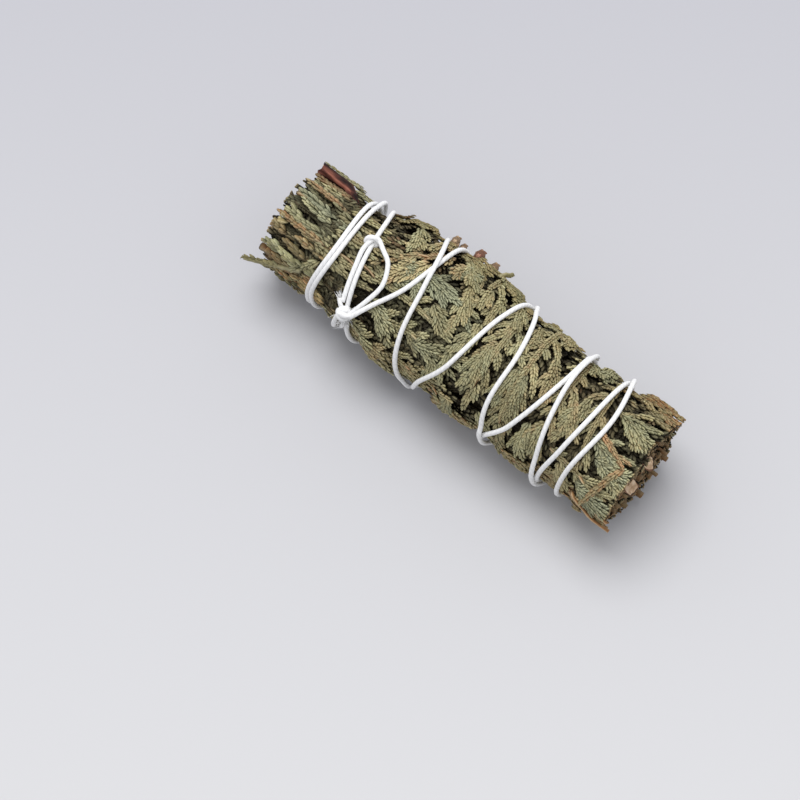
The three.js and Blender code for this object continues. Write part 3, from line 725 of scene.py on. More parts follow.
def strand(rows, line, depths, style, tone, light, deep, size=1):
    look = branchlets[style]
    spread, rise = strandLook["toneSpread"], strandLook["faceRise"]
    pairs = max(2, round(line["length"] / (look["pitch"] * size)))
    for i in range(pairs):
        for side in (-1, 1):
            t = (i + 0.25 + 0.25 * side) / pairs
            x, a, heading = walk(line, line["length"] * t * strandLook["leafy"])
            angle = lerp(*look["angle"], t) + vary(5)
            grown = size * (1.08 - strandLook["taper"] * t * t) * draw(0.86, 1.14)
            turned, foot = math.radians(heading + 90 * side), strandLook["footApart"] * size
            rows.append((x + math.cos(turned) * foot, a + math.sin(turned) * foot / perDegree,
                         lerp(*depths, t) + rise + vary(0.08), heading + side * angle,
                         *scaled(look["leaf"], grown), look["nose"] + vary(5),
                         -side * strandLook["roll"] + vary(6), tone + vary(spread),
                         light * draw(0.78, 1.2), deep))
        if chance.random() < look["face"]:
            t = (i + 0.5) / pairs
            x, a, heading = walk(line, line["length"] * t * strandLook["leafy"])
            rows.append((x, a, lerp(*depths, t) - rise, heading + vary(7),
                         *scaled(strandLook["faceLeaf"], size), 10 + vary(4), vary(10), tone + vary(spread),
                         light * draw(0.88, 1.2), deep))
    x, a, heading = walk(line, line["length"] * 0.9)
    rows.append((x, a, depths[1], heading, *scaled(look["leaf"], size * 0.9),
                 look["nose"], 0, tone, light * 1.08, deep))


def dressSpray(spray):
    # Rows of fine leaves, rows of plain leaves and finished parts of a spray
    outer = spray["layer"] == 0
    up = abs(roundTurn(spray["a"] + 10)) < sprayLook["faceHalf"]
    strapped = outer and up and spray["x"] < sprayLook["strapsBefore"]
    style, tone = "braid" if up else "plain", spray["tone"]
    # Painted shade: strapped outer sprays and the middle layer are darkened, open outer sprays are not
    deep = sprayLook["strappedDeep"] * strapped if outer else sprayLook["middleDeep"]
    depths = sprayLook["betweenDepth" if strapped else "outerDepth" if outer else "middleDepth"]
    fine, coarse = [], []
    rows = fine if outer and up else coarse
    x, a, _ = np.array(spray["stations"]).T
    t = np.linspace(0, 1, len(x))
    parts = [stemTube(x, a, depths[0] - lerp(0.1, 0.25, t), lerp(*sprayLook["stemRadius"], t), 5,
                      (max(0, tone - 0.4), 1, deep, 1))]
    strand(rows, spray, (depths[0] - 0.2, depths[0] - 0.35), style, tone - 0.1, 0.95, deep, 0.9)
    strand(rows, dict(spray["tip"], length=spray["tip"]["length"] + 0.6), depths, style, tone, 1, deep)
    for shoot in spray["shoots"]:
        strand(rows, shoot, depths, style, tone + vary(0.15), draw(0.78, 1.2), deep)
    # Strands under and between the shoots carry painted shade
    for line in spray["wanted"] if outer else []:
        if line["kept"] < line["length"] - 1.5:
            strand(coarse, line, sprayLook["underDepth"], "plain", tone, 0.95, sprayLook["underDeep"])
        x, a, heading = walk(spray, spray["length"] * min(1, line["t"] + 1 / spray["segments"]))
        between = dict(line, x=x, a=a, heading=heading + line["side"] * draw(28, 58),
                       length=line["length"] * draw(0.7, 1))
        strand(coarse, between, sprayLook["betweenDepth"], "plain", tone + draw(-0.2, 0.1),
               draw(0.85, 1.1), sprayLook["betweenDeep"])
    return fine, coarse, parts


dressed = [dressSpray(spray) for spray in sprays]
outerStations = np.array([(spray["owner"], x, a) for spray in sprays if spray["layer"] == 0
                          for x, a, _ in spray["stations"]])


def nearestSpray(x, a):
    away = np.hypot(outerStations[:, 1] - x, roundTurn(outerStations[:, 2] - a) * perDegree)
    return dressed[int(outerStations[np.argmin(away), 0])]


# Straps: strands side by side along the stick over the sprays. x from and to, degrees round from and to,
# apart, tones, depths, size, lightness
straps = [
    ((-33, -51.5), (-58, 88), 2.7, (0.12, 0.95), (-0.3, 1.6), 1.2, (0.65, 1.5)),
    ((-34, -51), (-112, -92), 2.6, (0.3, 0.6), (0, 0.9), 0.95, (0.75, 1.25)),
    ((-38, -24), (-56, 24), 2.7, (0.35, 0.7), (0, 0.9), 0.9, (0.75, 1.25)),
    ((36, 50.5), (-108, -46), 2.2, (0.1, 0.5), (0, 1.1), 0.95, (0.75, 1.25)),
    ((-20, 37), (-132, -90), 2, (0.2, 0.5), (0.1, 1), 1, (0.75, 1.25)),
    ((-2, 49), (66, 98), 2.6, (0.1, 0.5), (0.1, 0.9), 0.95, (0.75, 1.25)),
    ((-34, -2), (64, 92), 2.6, (0.2, 0.55), (0.2, 0.9), 0.95, (0.75, 1.25)),
]
for (x0, x1), (a0, a1), apart, tones, depths, size, lights in straps:
    ahead, lanes = (1 if x1 > x0 else -1), max(1, round((a1 - a0) * perDegree / apart))
    for k in range(lanes):
        a = a0 + (k + 0.5 + vary(0.2)) * (a1 - a0) / lanes
        x = x0 + vary(3)
        tone = draw(*tones)
        while ahead * (x1 - x) > 1.5:
            length = min(draw(6, 12), ahead * (x1 - x) + 1)
            line = makeLine(x, a + vary(1.5), 90 - 90 * ahead + vary(8), vary(14), length)
            sunk = draw(0, 1)
            depth, light = lerp(*depths, sunk), draw(*lights)
            # Deeper-lying strap strands carry more painted shade
            strand(nearestSpray(x, a)[0], line, (depth + 0.25, depth - 0.1), "strap", tone, light,
                   0.5 * sunk ** 2, size * draw(0.92, 1.15))
            x += ahead * (length - 1.8)

# Sprigs: small sprays that lie loose on the face. x and a from and to, headings, style, tones, apart, lengths
sprigs = [
    ((-26, -6), (-46, 60), (-20, 42), "fern", (0.45, 0.95), 8, (6, 10)),
    ((-24, 0), (-102, -50), (30, 110), "braid", (0.25, 0.7), 6.5, (5, 8)),
    ((-5, 37), (-88, 60), (62, 100), "braid", (0.3, 0.7), 7.6, (7, 11)),
    ((37, 45), (-46, 72), (-12, 34), "fern", (0.4, 0.95), 7, (6, 9)),
]
sprigLook = {
    "depth": (0.3, -0.1),
    "shootAngle": (22, 34),
    "shootShare": 0.5,
    "shootCurl": 14,
}


def dressSprig(style, x, a, heading, bend, length, shoots, tone, light, size, lift=0):
    rows = nearestSpray(x, a)[0]
    foot, tip = (depth - lift for depth in sprigLook["depth"])
    line = makeLine(x, a, heading, bend, length)
    strand(rows, line, (foot, tip), style, tone, light, 0, size)
    for i in range(shoots):
        side = 1 if i % 2 else -1
        t = (i + 0.5) / (shoots + 1)
        x, a, along = walk(line, length * t)
        shoot = makeLine(x, a, along + side * draw(*sprigLook["shootAngle"]), -side * sprigLook["shootCurl"],
                         length * sprigLook["shootShare"] * lerp(1.1, 0.7, t) * draw(0.85, 1.15))
        strand(rows, shoot, (foot + 0.12, tip + 0.1), style, tone + vary(0.12),
               light * draw(0.9, 1.1), 0, size * 0.95)


for (x0, x1), (a0, a1), headings, style, tones, apart, lengths in sprigs:
    columns, rounds = round((x1 - x0) / apart), round((a1 - a0) * perDegree / (apart * 1.15))
    for i in range(columns):
        for k in range(rounds):
            x = lerp(x0, x1, (i + draw(0, 1)) / columns)
            a = lerp(a0, a1, (k + draw(0, 1)) / rounds)
            dressSprig(style, x, a, draw(*headings), vary(25), draw(*lengths), chance.choice((2, 3, 4)),
                       draw(*tones), draw(0.88, 1.12), draw(0.88, 1.1))

# Features of the face, placed one by one. Sprigs by style: x, a, heading, bend, length, side shoots, tone,
# lightness, size, lift
placedSprigs = {
    "fern": [
        (-15, -40, 118, 14, 9.5, 5, 0.3, 1.3, 0.9, 0.35),
        (-14.5, -27, 10, 8, 9, 5, 0.98, 1.1, 0.9, 0.3),
        (-22, 22, 20, 10, 10, 4, 0.7, 1.1, 1, 0.2),
        (39.5, -33, 16, 10, 9, 5, 0.7, 1.1, 0.95, 0.2),
        (40.5, 16, 4, -12, 9, 5, 0.85, 1.1, 0.95, 0.2),
        (39.5, 50, 0, 10, 10, 5, 0.9, 1.1, 0.95, 0.2),
    ],
    "braid": [
        (-19.5, -84, 20, 20, 5, 2, 0.2, 1, 0.8, 0.5),
        (-13, -84, -10, 30, 5, 2, 0.35, 1, 0.8, 0.5),
        (-8.5, -83, 30, 20, 5, 3, 0.3, 1, 0.8, 0.5),
        (-9, -95, 10, 0, 6, 4, 0.35, 0.95, 0.9, 0),
        (-4, -94, -4, 0, 7, 4, 0.4, 0.95, 0.95, 0),
        (-1, -84, 2, 0, 7, 4, 0.5, 1, 0.95, 0.1),
        (1, -96, 0, 0, 7, 4, 0.4, 0.95, 0.95, 0.1),
        (6, -88, 0, 0, 8, 4, 0.35, 1, 0.95, 0),
        (-13, -76, 14, 10, 8, 5, 0.45, 1, 1, 0.2),
        (-10, -66, 40, 20, 8, 5, 0.55, 1, 1, 0.2),
        (-2, -78, 6, 0, 8, 5, 0.5, 1, 1, 0.1),
        (2, -83, 0, 0, 8, 4, 0.4, 1, 1, 0.1),
        (-29, -84, 6, 4, 8, 4, 0.35, 0.9, 1, 0.2),
        (-28, -92, 4, 4, 9, 4, 0.35, 0.9, 1, 0.1),
        (-20, -92, 0, 4, 9, 4, 0.35, 0.9, 1, 0),
        (38, -84, 0, 0, 9, 4, 0.2, 0.95, 1, 0.2),
        (-33, -99, 4, 2, 9, 4, 0.35, 0.85, 1, -0.2),
        (-33, -106, 2, 0, 10, 4, 0.35, 0.85, 1, -0.2),
        (-31, -78, 4, 6, 8, 4, 0.4, 0.9, 1, 0),
        (46, -84, -6, 0, 5, 2, 0.2, 0.95, 1, 0.2),
    ],
}
# Strands free of the trimmed ends: x, a, heading, bend, length, then depths, style, tone, lightness, size
freeStrands = [
    ((-36, -82, 182, 2, 15.8), (-0.4, -2.1), "strap", 0.65, 1, 1),
    ((-36, -87, 183, 2, 14.6), (-0.6, -2.4), "strap", 0.5, 1.05, 0.9),
    ((-36, 22, 122, 10, 12), (0, 0), "strap", 0.6, 1, 1),
    ((-43.5, 59, 154, 6, 6.6), (-0.1, -1.3), "rope", 0.55, 0.95, 1.3),
    ((-43, 69, 170, 8, 6.5), (0.2, -0.9), "rope", 0.4, 0.9, 1.1),
    ((-49.2, 71, 180, 0, 4.2), (-1.2, -2.7), "rope", 0.5, 0.95, 1.15),
    ((-35, 6, 180, 1, 15.6), (0.4, -0.3), "rope", 0.1, 0.85, 1.25),
    ((-38.5, -61, 181, 0, 12), (0.9, 0.5), "rope", 0.05, 0.45, 1.1),
    ((-38.5, -56, 181, 0, 11.4), (0.7, 0.3), "rope", 0.1, 0.6, 1.2),
    ((-37.5, -36, 182, 0, 12.6), (0.3, -0.2), "rope", 0.08, 0.8, 1.2),
    ((-38, 62, 150, 10, 8), (0.2, 0), "strap", 0.45, 0.95, 0.75),
    ((-31.5, -82, 4, 10, 4.2), (-0.4, -1.2), "braid", 0.15, 0.5, 0.8),
    ((-31.8, -88, -8, 14, 3.6), (-0.2, -1), "braid", 0.2, 0.6, 0.8),
    ((47.6, 7, 110, -6, 15), (-0.4, -0.3), "rope", 0.16, 1, 1.15),
    ((38, -8.5, 22, 4, 10.6), (-0.1, -0.3), "rope", 0.03, 1, 0.95),
    ((43, 3, -10, 10, 5), (0.2, 0), "rope", 0.1, 0.95, 0.8),
    ((50, -48, 5, 0, 1.6), (0.5, 0.2), "rope", 0.4, 0.5, 0.6),
]
# Bare stems: radius from and to, tone, lightness, then spots as x, a, depth
bareStems = [
    (0.75, 0.5, 0.5, 0.7,
     [(-39, 46, 0.4), (-43, 57, 0.1), (-46.5, 66, -0.4), (-49.5, 71, -1.2), (-52.7, 71, -2.5)]),
    (0.4, 0.26, 0.03, 0.72, [(-40, 6.5, 0.4), (-36.5, 6.5, 0.5), (-34, 4.5, 0.5), (-29.8, 4, 0), (-27, 8, 0.3)]),
    (0.34, 0.2, 0, 0.75, [(-29, -2, 0.5), (-27.5, -0.5, -0.1), (-25, 0.5, -0.2), (-22.5, 3.5, 0.5)]),
    (0.62, 0.52, 0.4, 0.75, [(-3.6, -87, 0.8), (-2.8, -91, -0.8), (-2, -92, -1.4), (-1.6, -92.5, -2.2)]),
    (0.36, 0.4, 0, 1, [(40, 63, 0.2), (44, 69, -0.2), (47, 74, -0.4), (51.2, 80, 0.2)]),
    (0.4, 0.4, 0.08, 0.9, [(42, 71, 0.4), (47, 78, 0.1), (50.4, 84, 0.6)]),
    (0.33, 0.35, 0.04, 1, [(43, 58, 0.4), (48, 64, 0.1), (50.3, 68, 0.5)]),
    (0.9, 0.8, 0.05, 0.5, [(-50.8, 58, 0.9), (-45, 56, 0.7)]),
    (0.4, 0.25, 0.1, 0.7, [(-49.6, -19, -0.2), (-46, -22, 0.1), (-43, -26, 0.7)]),
]
for style, rows in placedSprigs.items():
    for row in rows:
        dressSprig(style, *row)
for line, depths, style, tone, light, size in freeStrands:
    rows = []
    strand(rows, makeLine(*line), depths, style, tone, light, 0, size)
    nearestSpray(*line[:2])[2].append(leafParts(rows, fineLeaf, trimmed=False))
for thick, thin, tone, light, spots in bareStems:
    x, a, depth = curveColumns(spots, 6 * len(spots))
    uneven = 1 + 0.08 * np.sin(np.arange(len(x)) * 1.7)
    radii = lerp(thick, thin, np.linspace(0, 1, len(x))) * uneven
    nearestSpray(*spots[1][:2])[2].append(stemTube(x, a, depth, radii, 7, (tone, light, 0, 1)))

# Thatch: strands under everything, painted dark as shade, each kept in the piece of the nearest middle spray
thatch = {
    "every": 3.9,
    "around": 92,
    "depth": (2.1, 3),
    "headings": (0, 0, 180, 60, -60),
    "length": (4.5, 7),
    "deep": 0.85,
}
middleSprays = [spray for spray in sprays if spray["layer"] == 1]


def thatchOwner(x, a):
    def farOff(spray):
        return abs(roundTurn(spray["a"] - a)) + 400 * ((spray["x"] + 22 - x) ** 2 > 650)
    return min(middleSprays, key=farOff)["owner"]


columns = round(thatch["around"] / thatch["every"])
for row in range(round((bundle["rightEnd"] - bundle["leftEnd"]) / thatch["every"])):
    for column in range(columns):
        x = bundle["leftEnd"] + (row + draw(0.1, 0.9)) * thatch["every"]
        a = (column + draw(0, 1)) * 360 / columns
        line = makeLine(x, a, chance.choice(thatch["headings"]) + vary(35), vary(25), draw(*thatch["length"]))
        depth = draw(*thatch["depth"])
        # Thatch strands carry heavy painted shade
        strand(dressed[thatchOwner(x, a)][1], line, (depth, depth - 0.5), "plain", draw(0.15, 0.6),
               draw(0.7, 1), thatch["deep"])

counts = [0, 0]
for spray, (fine, coarse, parts) in zip(sprays, dressed):
    counts[spray["layer"]] += 1
    name = ("outer_spray_%02d", "middle_spray_%02d")[spray["layer"]] % counts[spray["layer"]]
    coarse = coarse + [row for row in fine if row[2] > sprayLook["plainBelow"]]
    fine = [row for row in fine if row[2] <= sprayLook["plainBelow"]]
    parts += [leafParts(rows, template) for rows, template in ((fine, fineLeaf), (coarse, plainLeaf)) if rows]
    finishPiece(name, parts, foliage)
print("sprays dressed:", sum(triangleCount.values()), "triangles")


# Twigs: a bar extruded step by step, then laid along its line with bark ridges, its ends cut pale.
# Each has its angle and distance from the axis, its ends, radius, redness, and maybe a dip under the
# string and a slanted cut
twigLook = {
    "sides": 30,
    "step": 0.8,
    "barkRidge": 0.106,
    "knuckle": 0.12,
    "knuckleEvery": 10,
    "barkThick": 0.28,
    "cutSink": 0.0005,
    "dips": (-43.5, -37),
    "smoothAngle": 50,
}
twigs = [
    {"name": "twig_surface", "a": -72, "r": 13.2, "ends": (-50.8, -37), "radius": 1.4, "red": 1, "dip": 3.6},
    {"name": "twig_right_upper", "a": -32, "r": 6.5, "ends": (-12, 49.6), "radius": 1.6, "red": 0.35, "slant": 1.4},
    {"name": "twig_right_lower", "a": 28, "r": 6.5, "ends": (-6, 49.7), "radius": 1.9, "red": 0.3, "slant": 1.4},
    {"name": "twig_left_lower", "a": 88, "r": 6.2, "ends": (-51.2, 10), "radius": 1.5, "red": 0.5},
    {"name": "twig_left_back", "a": 208, "r": 6, "ends": (-50.6, 30), "radius": 1.7, "red": 0.4},
]


def barkMaterial():
    m = Shading("red brown bark", 0.72, 0.2)
    red, light, deep = m.tint()
    stretched = m.node("Mapping", {"Vector": m.objectSpot()})
    stretched.inputs["Scale"].default_value = (70, 650, 650)
    grain = m.noise(stretched.outputs[0], 1, 8)
    plain = m.ramp(grain, [(0.3, (0.03, 0.02, 0.014)), (0.5, (0.1, 0.058, 0.032)), (0.68, (0.2, 0.13, 0.08))])
    ruddy = m.ramp(grain, [(0.4, (0.014, 0.006, 0.005)), (0.5, (0.075, 0.024, 0.017)),
                           (0.6, (0.26, 0.095, 0.062)), (0.7, (0.36, 0.17, 0.12))])
    # The tint's painted shade share darkens the bark towards near-black
    colour = m.mix("MIX", deep, m.mix("MIX", red, plain, ruddy), (0.02, 0.012, 0.008))
    return m.finish(colour, grain, 0.0004, 0.9)


def cutWoodMaterial():
    m = Shading("pale cut wood", 0.75)
    fibre = m.noise(m.objectSpot(), 900, 3)
    colour = m.ramp(fibre, [(0.3, (0.36, 0.22, 0.12)), (0.52, (0.58, 0.41, 0.26)), (0.72, (0.76, 0.6, 0.43))])
    return m.finish(colour, fibre, 0.0002, 0.5)


bark, cutWood = barkMaterial(), cutWoodMaterial()


def turnFacesOut():
    setMode("EDIT")
    bpy.ops.mesh.select_all(action="SELECT")
    bpy.ops.mesh.normals_make_consistent(inside=False)
    setMode("OBJECT")


def extrudedBar(sides, steps):
    # A closed bar from z 0 to 1, made of one circle extruded in steps
    bpy.ops.mesh.primitive_circle_add(vertices=sides, radius=1, fill_type="NGON", location=(0, 0, 0))
    setMode("EDIT")
    for _ in range(steps):
        bpy.ops.mesh.extrude_region_move(TRANSFORM_OT_translate={"value": (0, 0, 1 / steps)})
    bpy.ops.mesh.select_all(action="DESELECT")
    bpy.ops.mesh.select_non_manifold()
    bpy.ops.mesh.edge_face_add()
    turnFacesOut()
    return bpy.context.object


def insetEnds(bar, share):
    # Marks the wood inside the bark at both ends and sinks it a little
    setMode("EDIT")
    bpy.ops.mesh.select_all(action="DESELECT")
    bpy.ops.mesh.select_mode(type="FACE")
    setMode("OBJECT")
    for face in bar.data.polygons:
        face.select = len(face.vertices) > 4
    setMode("EDIT")
    bpy.ops.mesh.inset(thickness=share, depth=-twigLook["cutSink"])
    bpy.ops.mesh.inset(thickness=share * 1.3, depth=0)
    bpy.ops.mesh.select_mode(type="VERT")
    setMode("OBJECT")


def modelTwig(twig):
    start, length = twig["ends"][0], twig["ends"][1] - twig["ends"][0]
    bar = extrudedBar(twigLook["sides"], round(length / twigLook["step"]))
    insetEnds(bar, twigLook["barkThick"] / twig["radius"])
    mesh = bar.data
    across, level, along = np.array([v.co[:] for v in mesh.vertices]).T
    x = start + length * np.clip(along, 0, 1)
    turn, reach = np.arctan2(level, across), np.hypot(across, level)
    ridges = (1 - 2 * np.abs(np.sin(2.5 * turn + 0.12 * x)) + 0.8 * np.sin(9 * turn - 0.3 * x + 2)
              + 0.5 * np.sin(2.1 * x + 3 * turn)) * (reach > 0.99)
    knots = np.exp(-((((x - start) / twigLook["knuckleEvery"] + 0.5) % 1 - 0.5) * 6) ** 2)
    radius = reach * (twig["radius"] + twigLook["barkRidge"] * ridges + twigLook["knuckle"] * (knots - 0.3))
    ends = (along < 0.002) | (along > 0.998)
    slant = twig.get("slant", 0) * np.sin(turn) * reach * (along > 0.5)
    x += ends * (0.25 * np.sin(3 * turn + twig["a"]) * reach + 0.12 * np.sin(7 * turn) - slant)
    t = (x - start) / length
    r = twig["r"] + 0.2 * np.sin(x * 0.21 + twig["a"]) - twig.get("dip", 0) * smoothstep(x, *twigLook["dips"])
    centre = fromAxis(x, twig["a"] + 6 * t, r)
    centre[:, 1] -= radius * np.cos(turn)
    centre[:, 2] += radius * np.sin(turn)
    points = np.clip(centre / 1000, *cadBox)
    mesh.vertices.foreach_set("co", points.astype(np.float32).ravel())
    mesh.update()
    bpy.context.view_layer.objects.active = bar
    mesh.materials.append(bark)
    mesh.materials.append(cutWood)
    for face in mesh.polygons:
        face.material_index = int(all(reach[i] < 0.99 and ends[i] for i in face.vertices))
    turnFacesOut()
    bpy.ops.object.shade_smooth_by_angle(angle=math.radians(twigLook["smoothAngle"]))
    tint = mesh.color_attributes.new("tint", "FLOAT_COLOR", "POINT")
    tint.data.foreach_set("color", np.tile([twig["red"], 1, 0, 1], len(points)).astype(np.float32))
    bar.name = twig["name"]
    handOver(bar, twig["name"])
    bpy.ops.object.select_all(action="DESELECT")


for twig in twigs:
    modelTwig(twig)
print("twigs made:", len(twigs))


# Folded sprays inside: a body painted near-black as shade that fills each bundle, leaf strands and cut stems out of
# both ends
inside = {
    "bundles": 6,
    "coreDepth": 2.8,
    "coreCentre": 2.6,
    "foldDepth": 0.9,
    "recessed": (1.2, 1.7),
    "endStrands": 36,
    "coreStrands": 8,
    "strandReach": (2.6, 4.4),
    "strandPitch": 1.05,
    "leaf": (2.1, 0.95, 0.62),
    "ragged": 1.5,
    "stubEvery": 6,
}
# The folded sprays get less of the paler band with its painted highlight
foldedFoliage = foliageMaterial("folded foliage", paleShare=0.2)
bundleWidth = 360 / inside["bundles"]


def bundleBody(index):
    # A block subdivided and wrapped to its share of the round, its outer face folded; the last is the core
    bpy.ops.mesh.primitive_cube_add(size=1, location=(0, 0, 0))
    block = bpy.context.object
    setMode("EDIT")
    bpy.ops.mesh.subdivide(number_cuts=13)
    setMode("OBJECT")
    points = np.array([v.co[:] for v in block.data.vertices])
    corners = np.array([i for face in block.data.polygons for i in face.vertices])
    bpy.data.objects.remove(block)
    along, around, up = points.T + 0.5
    ragged = 0.5 * np.sin(7 * up + 9 * around + index) + 0.4 * np.sin(23 * around - 11 * up)
    x = lerp(bundle["leftEnd"] + inside["recessed"][0], bundle["rightEnd"] - inside["recessed"][1], along)
    x += ragged * (np.abs(along - 0.5) > 0.49)
    if index == inside["bundles"]:
        square = np.maximum(np.abs(points[:, 1]), np.abs(points[:, 2])) * 2
        r, a = square * (inside["coreCentre"] - 0.2), np.degrees(np.arctan2(points[:, 1], points[:, 2]))
    else:
        a = (index + lerp(0.02, 0.98, around)) * bundleWidth
        fold = inside["foldDepth"] * (0.5 + 0.5 * np.sin(a * 0.42 + 2 * np.sin(x * 0.3 + index)))
        r = lerp(inside["coreCentre"] + 0.3, outerRadius(x, a) - inside["coreDepth"] - fold, up)
    co = fromAxis(x, a, r) / 1000
    # Painted shade: the body is all but black, a little lighter at its cut ends
    shade = np.where(along > 0.99, 0.9, np.where(along < 0.05, 0.93, 0.97))
    tint = np.tile([0.08, 0.8, 0, 1], (len(co), 1))
    tint[:, 2] = shade
    return makePart(co, corners, np.full(len(corners) // 4, 4), np.tile([0.62, 0.5], (len(corners), 1)), tint)


def endStrand(rows, x, a, r, end, length, tone, light, deep, roll, size):
    # Leaves along a straight strand that runs out of an end of the stick, its tip at x
    count = max(2, round(length / inside["strandPitch"]))
    apart, rise = (0.2 * part(math.radians(roll)) for part in (math.cos, math.sin))
    for i in range(count):
        t = (i + 0.5) / count
        for side in (-1, 1):
            at = x - end * length * (1 - t) - end * 0.8
            grown = size * draw(0.85, 1.12)
            rows.append((at, a + side * apart / perDegree, float(outerRadius(at, a)) - r + side * rise,
                         90 - 90 * end + side * lerp(20, 12, t), *scaled(inside["leaf"], grown),
                         draw(-6, 10), roll + vary(15), tone + vary(0.15), light * draw(0.85, 1.15), deep))


def stubPart(x, a, r, end, radius, length):
    # A cut stem among the leaf ends
    at = np.linspace(x - end * length, x, 5)
    radii = np.array([1, 1.05, 0.98, 1.04, 1]) * radius / 1000
    upward = np.broadcast_to([0.02, 0.3, 0.95], (5, 3))
    # Cut stems carry a little painted shade
    return tubePart(fromAxis(at, a, np.full(5, r)) / 1000, radii, 8, (0.08, 0.75, 0.15, 1), upward)


def dressInside(index):
    core = index == inside["bundles"]
    rows, parts = [], [bundleBody(index)]
    for end, out in ((-1, bundle["leftEnd"]), (1, bundle["rightEnd"])):
        count = inside["coreStrands" if core else "endStrands"]
        for k in range(count):
            a = draw(0, 360) if core else (index + (k + draw(0.1, 0.9)) / count) * bundleWidth
            share = ((k * 0.618) % 1) ** 0.7
            r = draw(0, 2.4) if core else lerp(3.4, float(outerRadius(out, a)) - 1.6, share)
            x = out + end * draw(-inside["ragged"] * 0.7, inside["ragged"])
            # Each leaf end carries some painted shade
            endStrand(rows, x, a, r, end, draw(*inside["strandReach"]), draw(0.1, 0.6), draw(0.65, 1),
                      draw(0.1, 0.45), vary(90), draw(0.95, 1.25))
            if k % inside["stubEvery"] == 1:
                x += end * draw(-0.3, 0.6)
                parts.append(stubPart(x, a + 6, max(1, r - 0.8), end, draw(0.45, 0.85), 4))
    leaves = leafParts(rows, plainLeaf, trimmed=False)
    uneven = np.repeat([draw(-1.3, 0.5) for _ in rows], len(plainLeaf["points"]))
    parts.append(cutFlat(leaves, bundle["leftEnd"] - 1.4 - uneven, bundle["rightEnd"] + uneven))
    finishPiece("inner_spray_%d" % (index + 1), parts, foldedFoliage)


for index in range(inside["bundles"] + 1):
    dressInside(index)
print("inner sprays made:", sum(triangleCount.values()), "triangles so far")


# Woody buds on the shoulder: overlapping brown scales round a small cone
budLook = {
    "swell": 1.22,
    "scales": 13,
    "turn": 2.4,
    "scale": (0.95, 1.05, 0.75),
    "tones": [(0, (0.24, 0.1, 0.07)), (0.5, (0.29, 0.18, 0.11)), (1, (0.36, 0.26, 0.16))],
    "pale": (0.42, 0.3, 0.2),
    "toneOf": (0.75, 0.6, 0.05, 0.6),
    "cone": [(-0.9, 0.5), (0, 0.72), (0.7, 0.7), (1.3, 0.35)],
}
# Bud scales share the leaves' pattern, with its painted highlight and painted shade
budMaterial = foliageMaterial("bud scales", tones=budLook["tones"], pale=budLook["pale"], roughness=0.6)


def modelBud(number, x, a, radius, tone):
    radius = radius * budLook["swell"] / 1000
    base, out = place(x, a, 0.4), outwardAt(x, a)
    sideways = unit(np.cross(out, [1, 0, 0]))
    ahead = np.cross(sideways, out)
    scales = []
    for i in range(budLook["scales"]):
        turn = i * budLook["turn"]
        rise = (i / (budLook["scales"] - 1)) ** 0.9
        outward = math.cos(turn) * ahead + math.sin(turn) * sideways
        lean = lerp(0.15, 1.1, rise ** 2)
        along = unit(out * math.cos(lean) - outward * math.sin(lean))
        up = unit(outward * math.cos(lean) + out * math.sin(lean))
        at = base + (out * lerp(-0.6, 0.9, rise) + outward * (0.62 - 0.5 * rise ** 2)) * radius
        size = np.array(budLook["scale"]) * radius * (1.1 - 0.3 * rise)
        tint = (tone + vary(0.2), draw(0.85, 1.2), 0, 1)
        scales.append((at, np.cross(along, up), along, up, size, tint))
    heights, radii = np.array(budLook["cone"]).T * radius
    # The cone under the scales carries a little painted shade
    cone = tubePart(base + out * heights[:, None], radii, 10, (tone, 0.7, 0.2, 1), np.broadcast_to(ahead, (4, 3)))
    scales = copies(fineLeaf, *(np.array(column) for column in zip(*scales)))
    finishPiece("bud_%d" % number, [cone, scales], budMaterial)


for number, (spot, tone) in enumerate(zip(buds, budLook["toneOf"]), 1):
    modelBud(number, *spot, tone)


# Cotton string: one length of three plies, wound out and back, its bow, hitch, knot and frayed ends.
# Loops: tip, spin, rise, radius, thickness. Pulls: degrees wound, shift along the stick
string = {
    "radius": 0.56,
    "depth": 0.6,
    "sides": 10,
    "step": 3,
    "twist": 1.35,
    "ply": 0.03,
    "pulls": ((340, -0.2), (700, -0.78)),
    "humps": (608, 930),
    "crossedFrom": 2720,
    "hump": 1.3,
    "knotAt": (45, -24.4, 0.6),
    "knotLoops": ((1.3, 0.2, 0.5, 1.45, 0.66), (0.6, 1.2, 0.7, 1.15, 0.66), (1, 2.3, 0.9, 1.2, 0.62),
                  (1.2, 1.7, 0.3, 1, 0.62)),
    "hitchAt": (-23, -28.6, 0.35),
    "hitchLoops": ((1.35, 0.5, 0.1, 1.35, 0.6), (1.2, 0.9, 0.3, 0.8, 0.55)),
    "tails": (((47, -24.4, 0.9), (58, -24, 0.9), (68, -24.6, 0.3)),
              ((44, -24.9, 1.1), (40, -26, 1.4), (36, -27.1, 1.2))),
    "frayTowards": (62, -24, 0.4),
    "shades": [(0, 0.87), (0.3, 0.94), (1, 0.96)],
}
cottonTint = (1, 1, 0, 1)


def cottonMaterial():
    m = Shading("white cotton", 0.9, 0.15)
    m.feed(m.shader, {"Sheen Weight": 0.3})
    u, v = m.uv()
    lean = m.math("SUBTRACT", m.times(u, 18.85), m.times(v, 3 * string["twist"]))
    plies = m.times(m.plus(m.math("COSINE", lean), 1), 0.5)
    fibres = m.noise(m.objectSpot(), 3000, 3)
    # Darker in the grooves between the plies: painted shade
    colour = m.mix("MULTIPLY", 0.25, m.ramp(plies, string["shades"]), fibres)
    return m.finish(colour, m.plus(plies, fibres), 0.00008, 0.5)


def stringPoints(a, x, lift):
    points = place(x, a, string["depth"] - np.asarray(lift, float))
    points[..., 2] = np.maximum(points[..., 2], (string["radius"] + 0.05) / 1000)
    return points


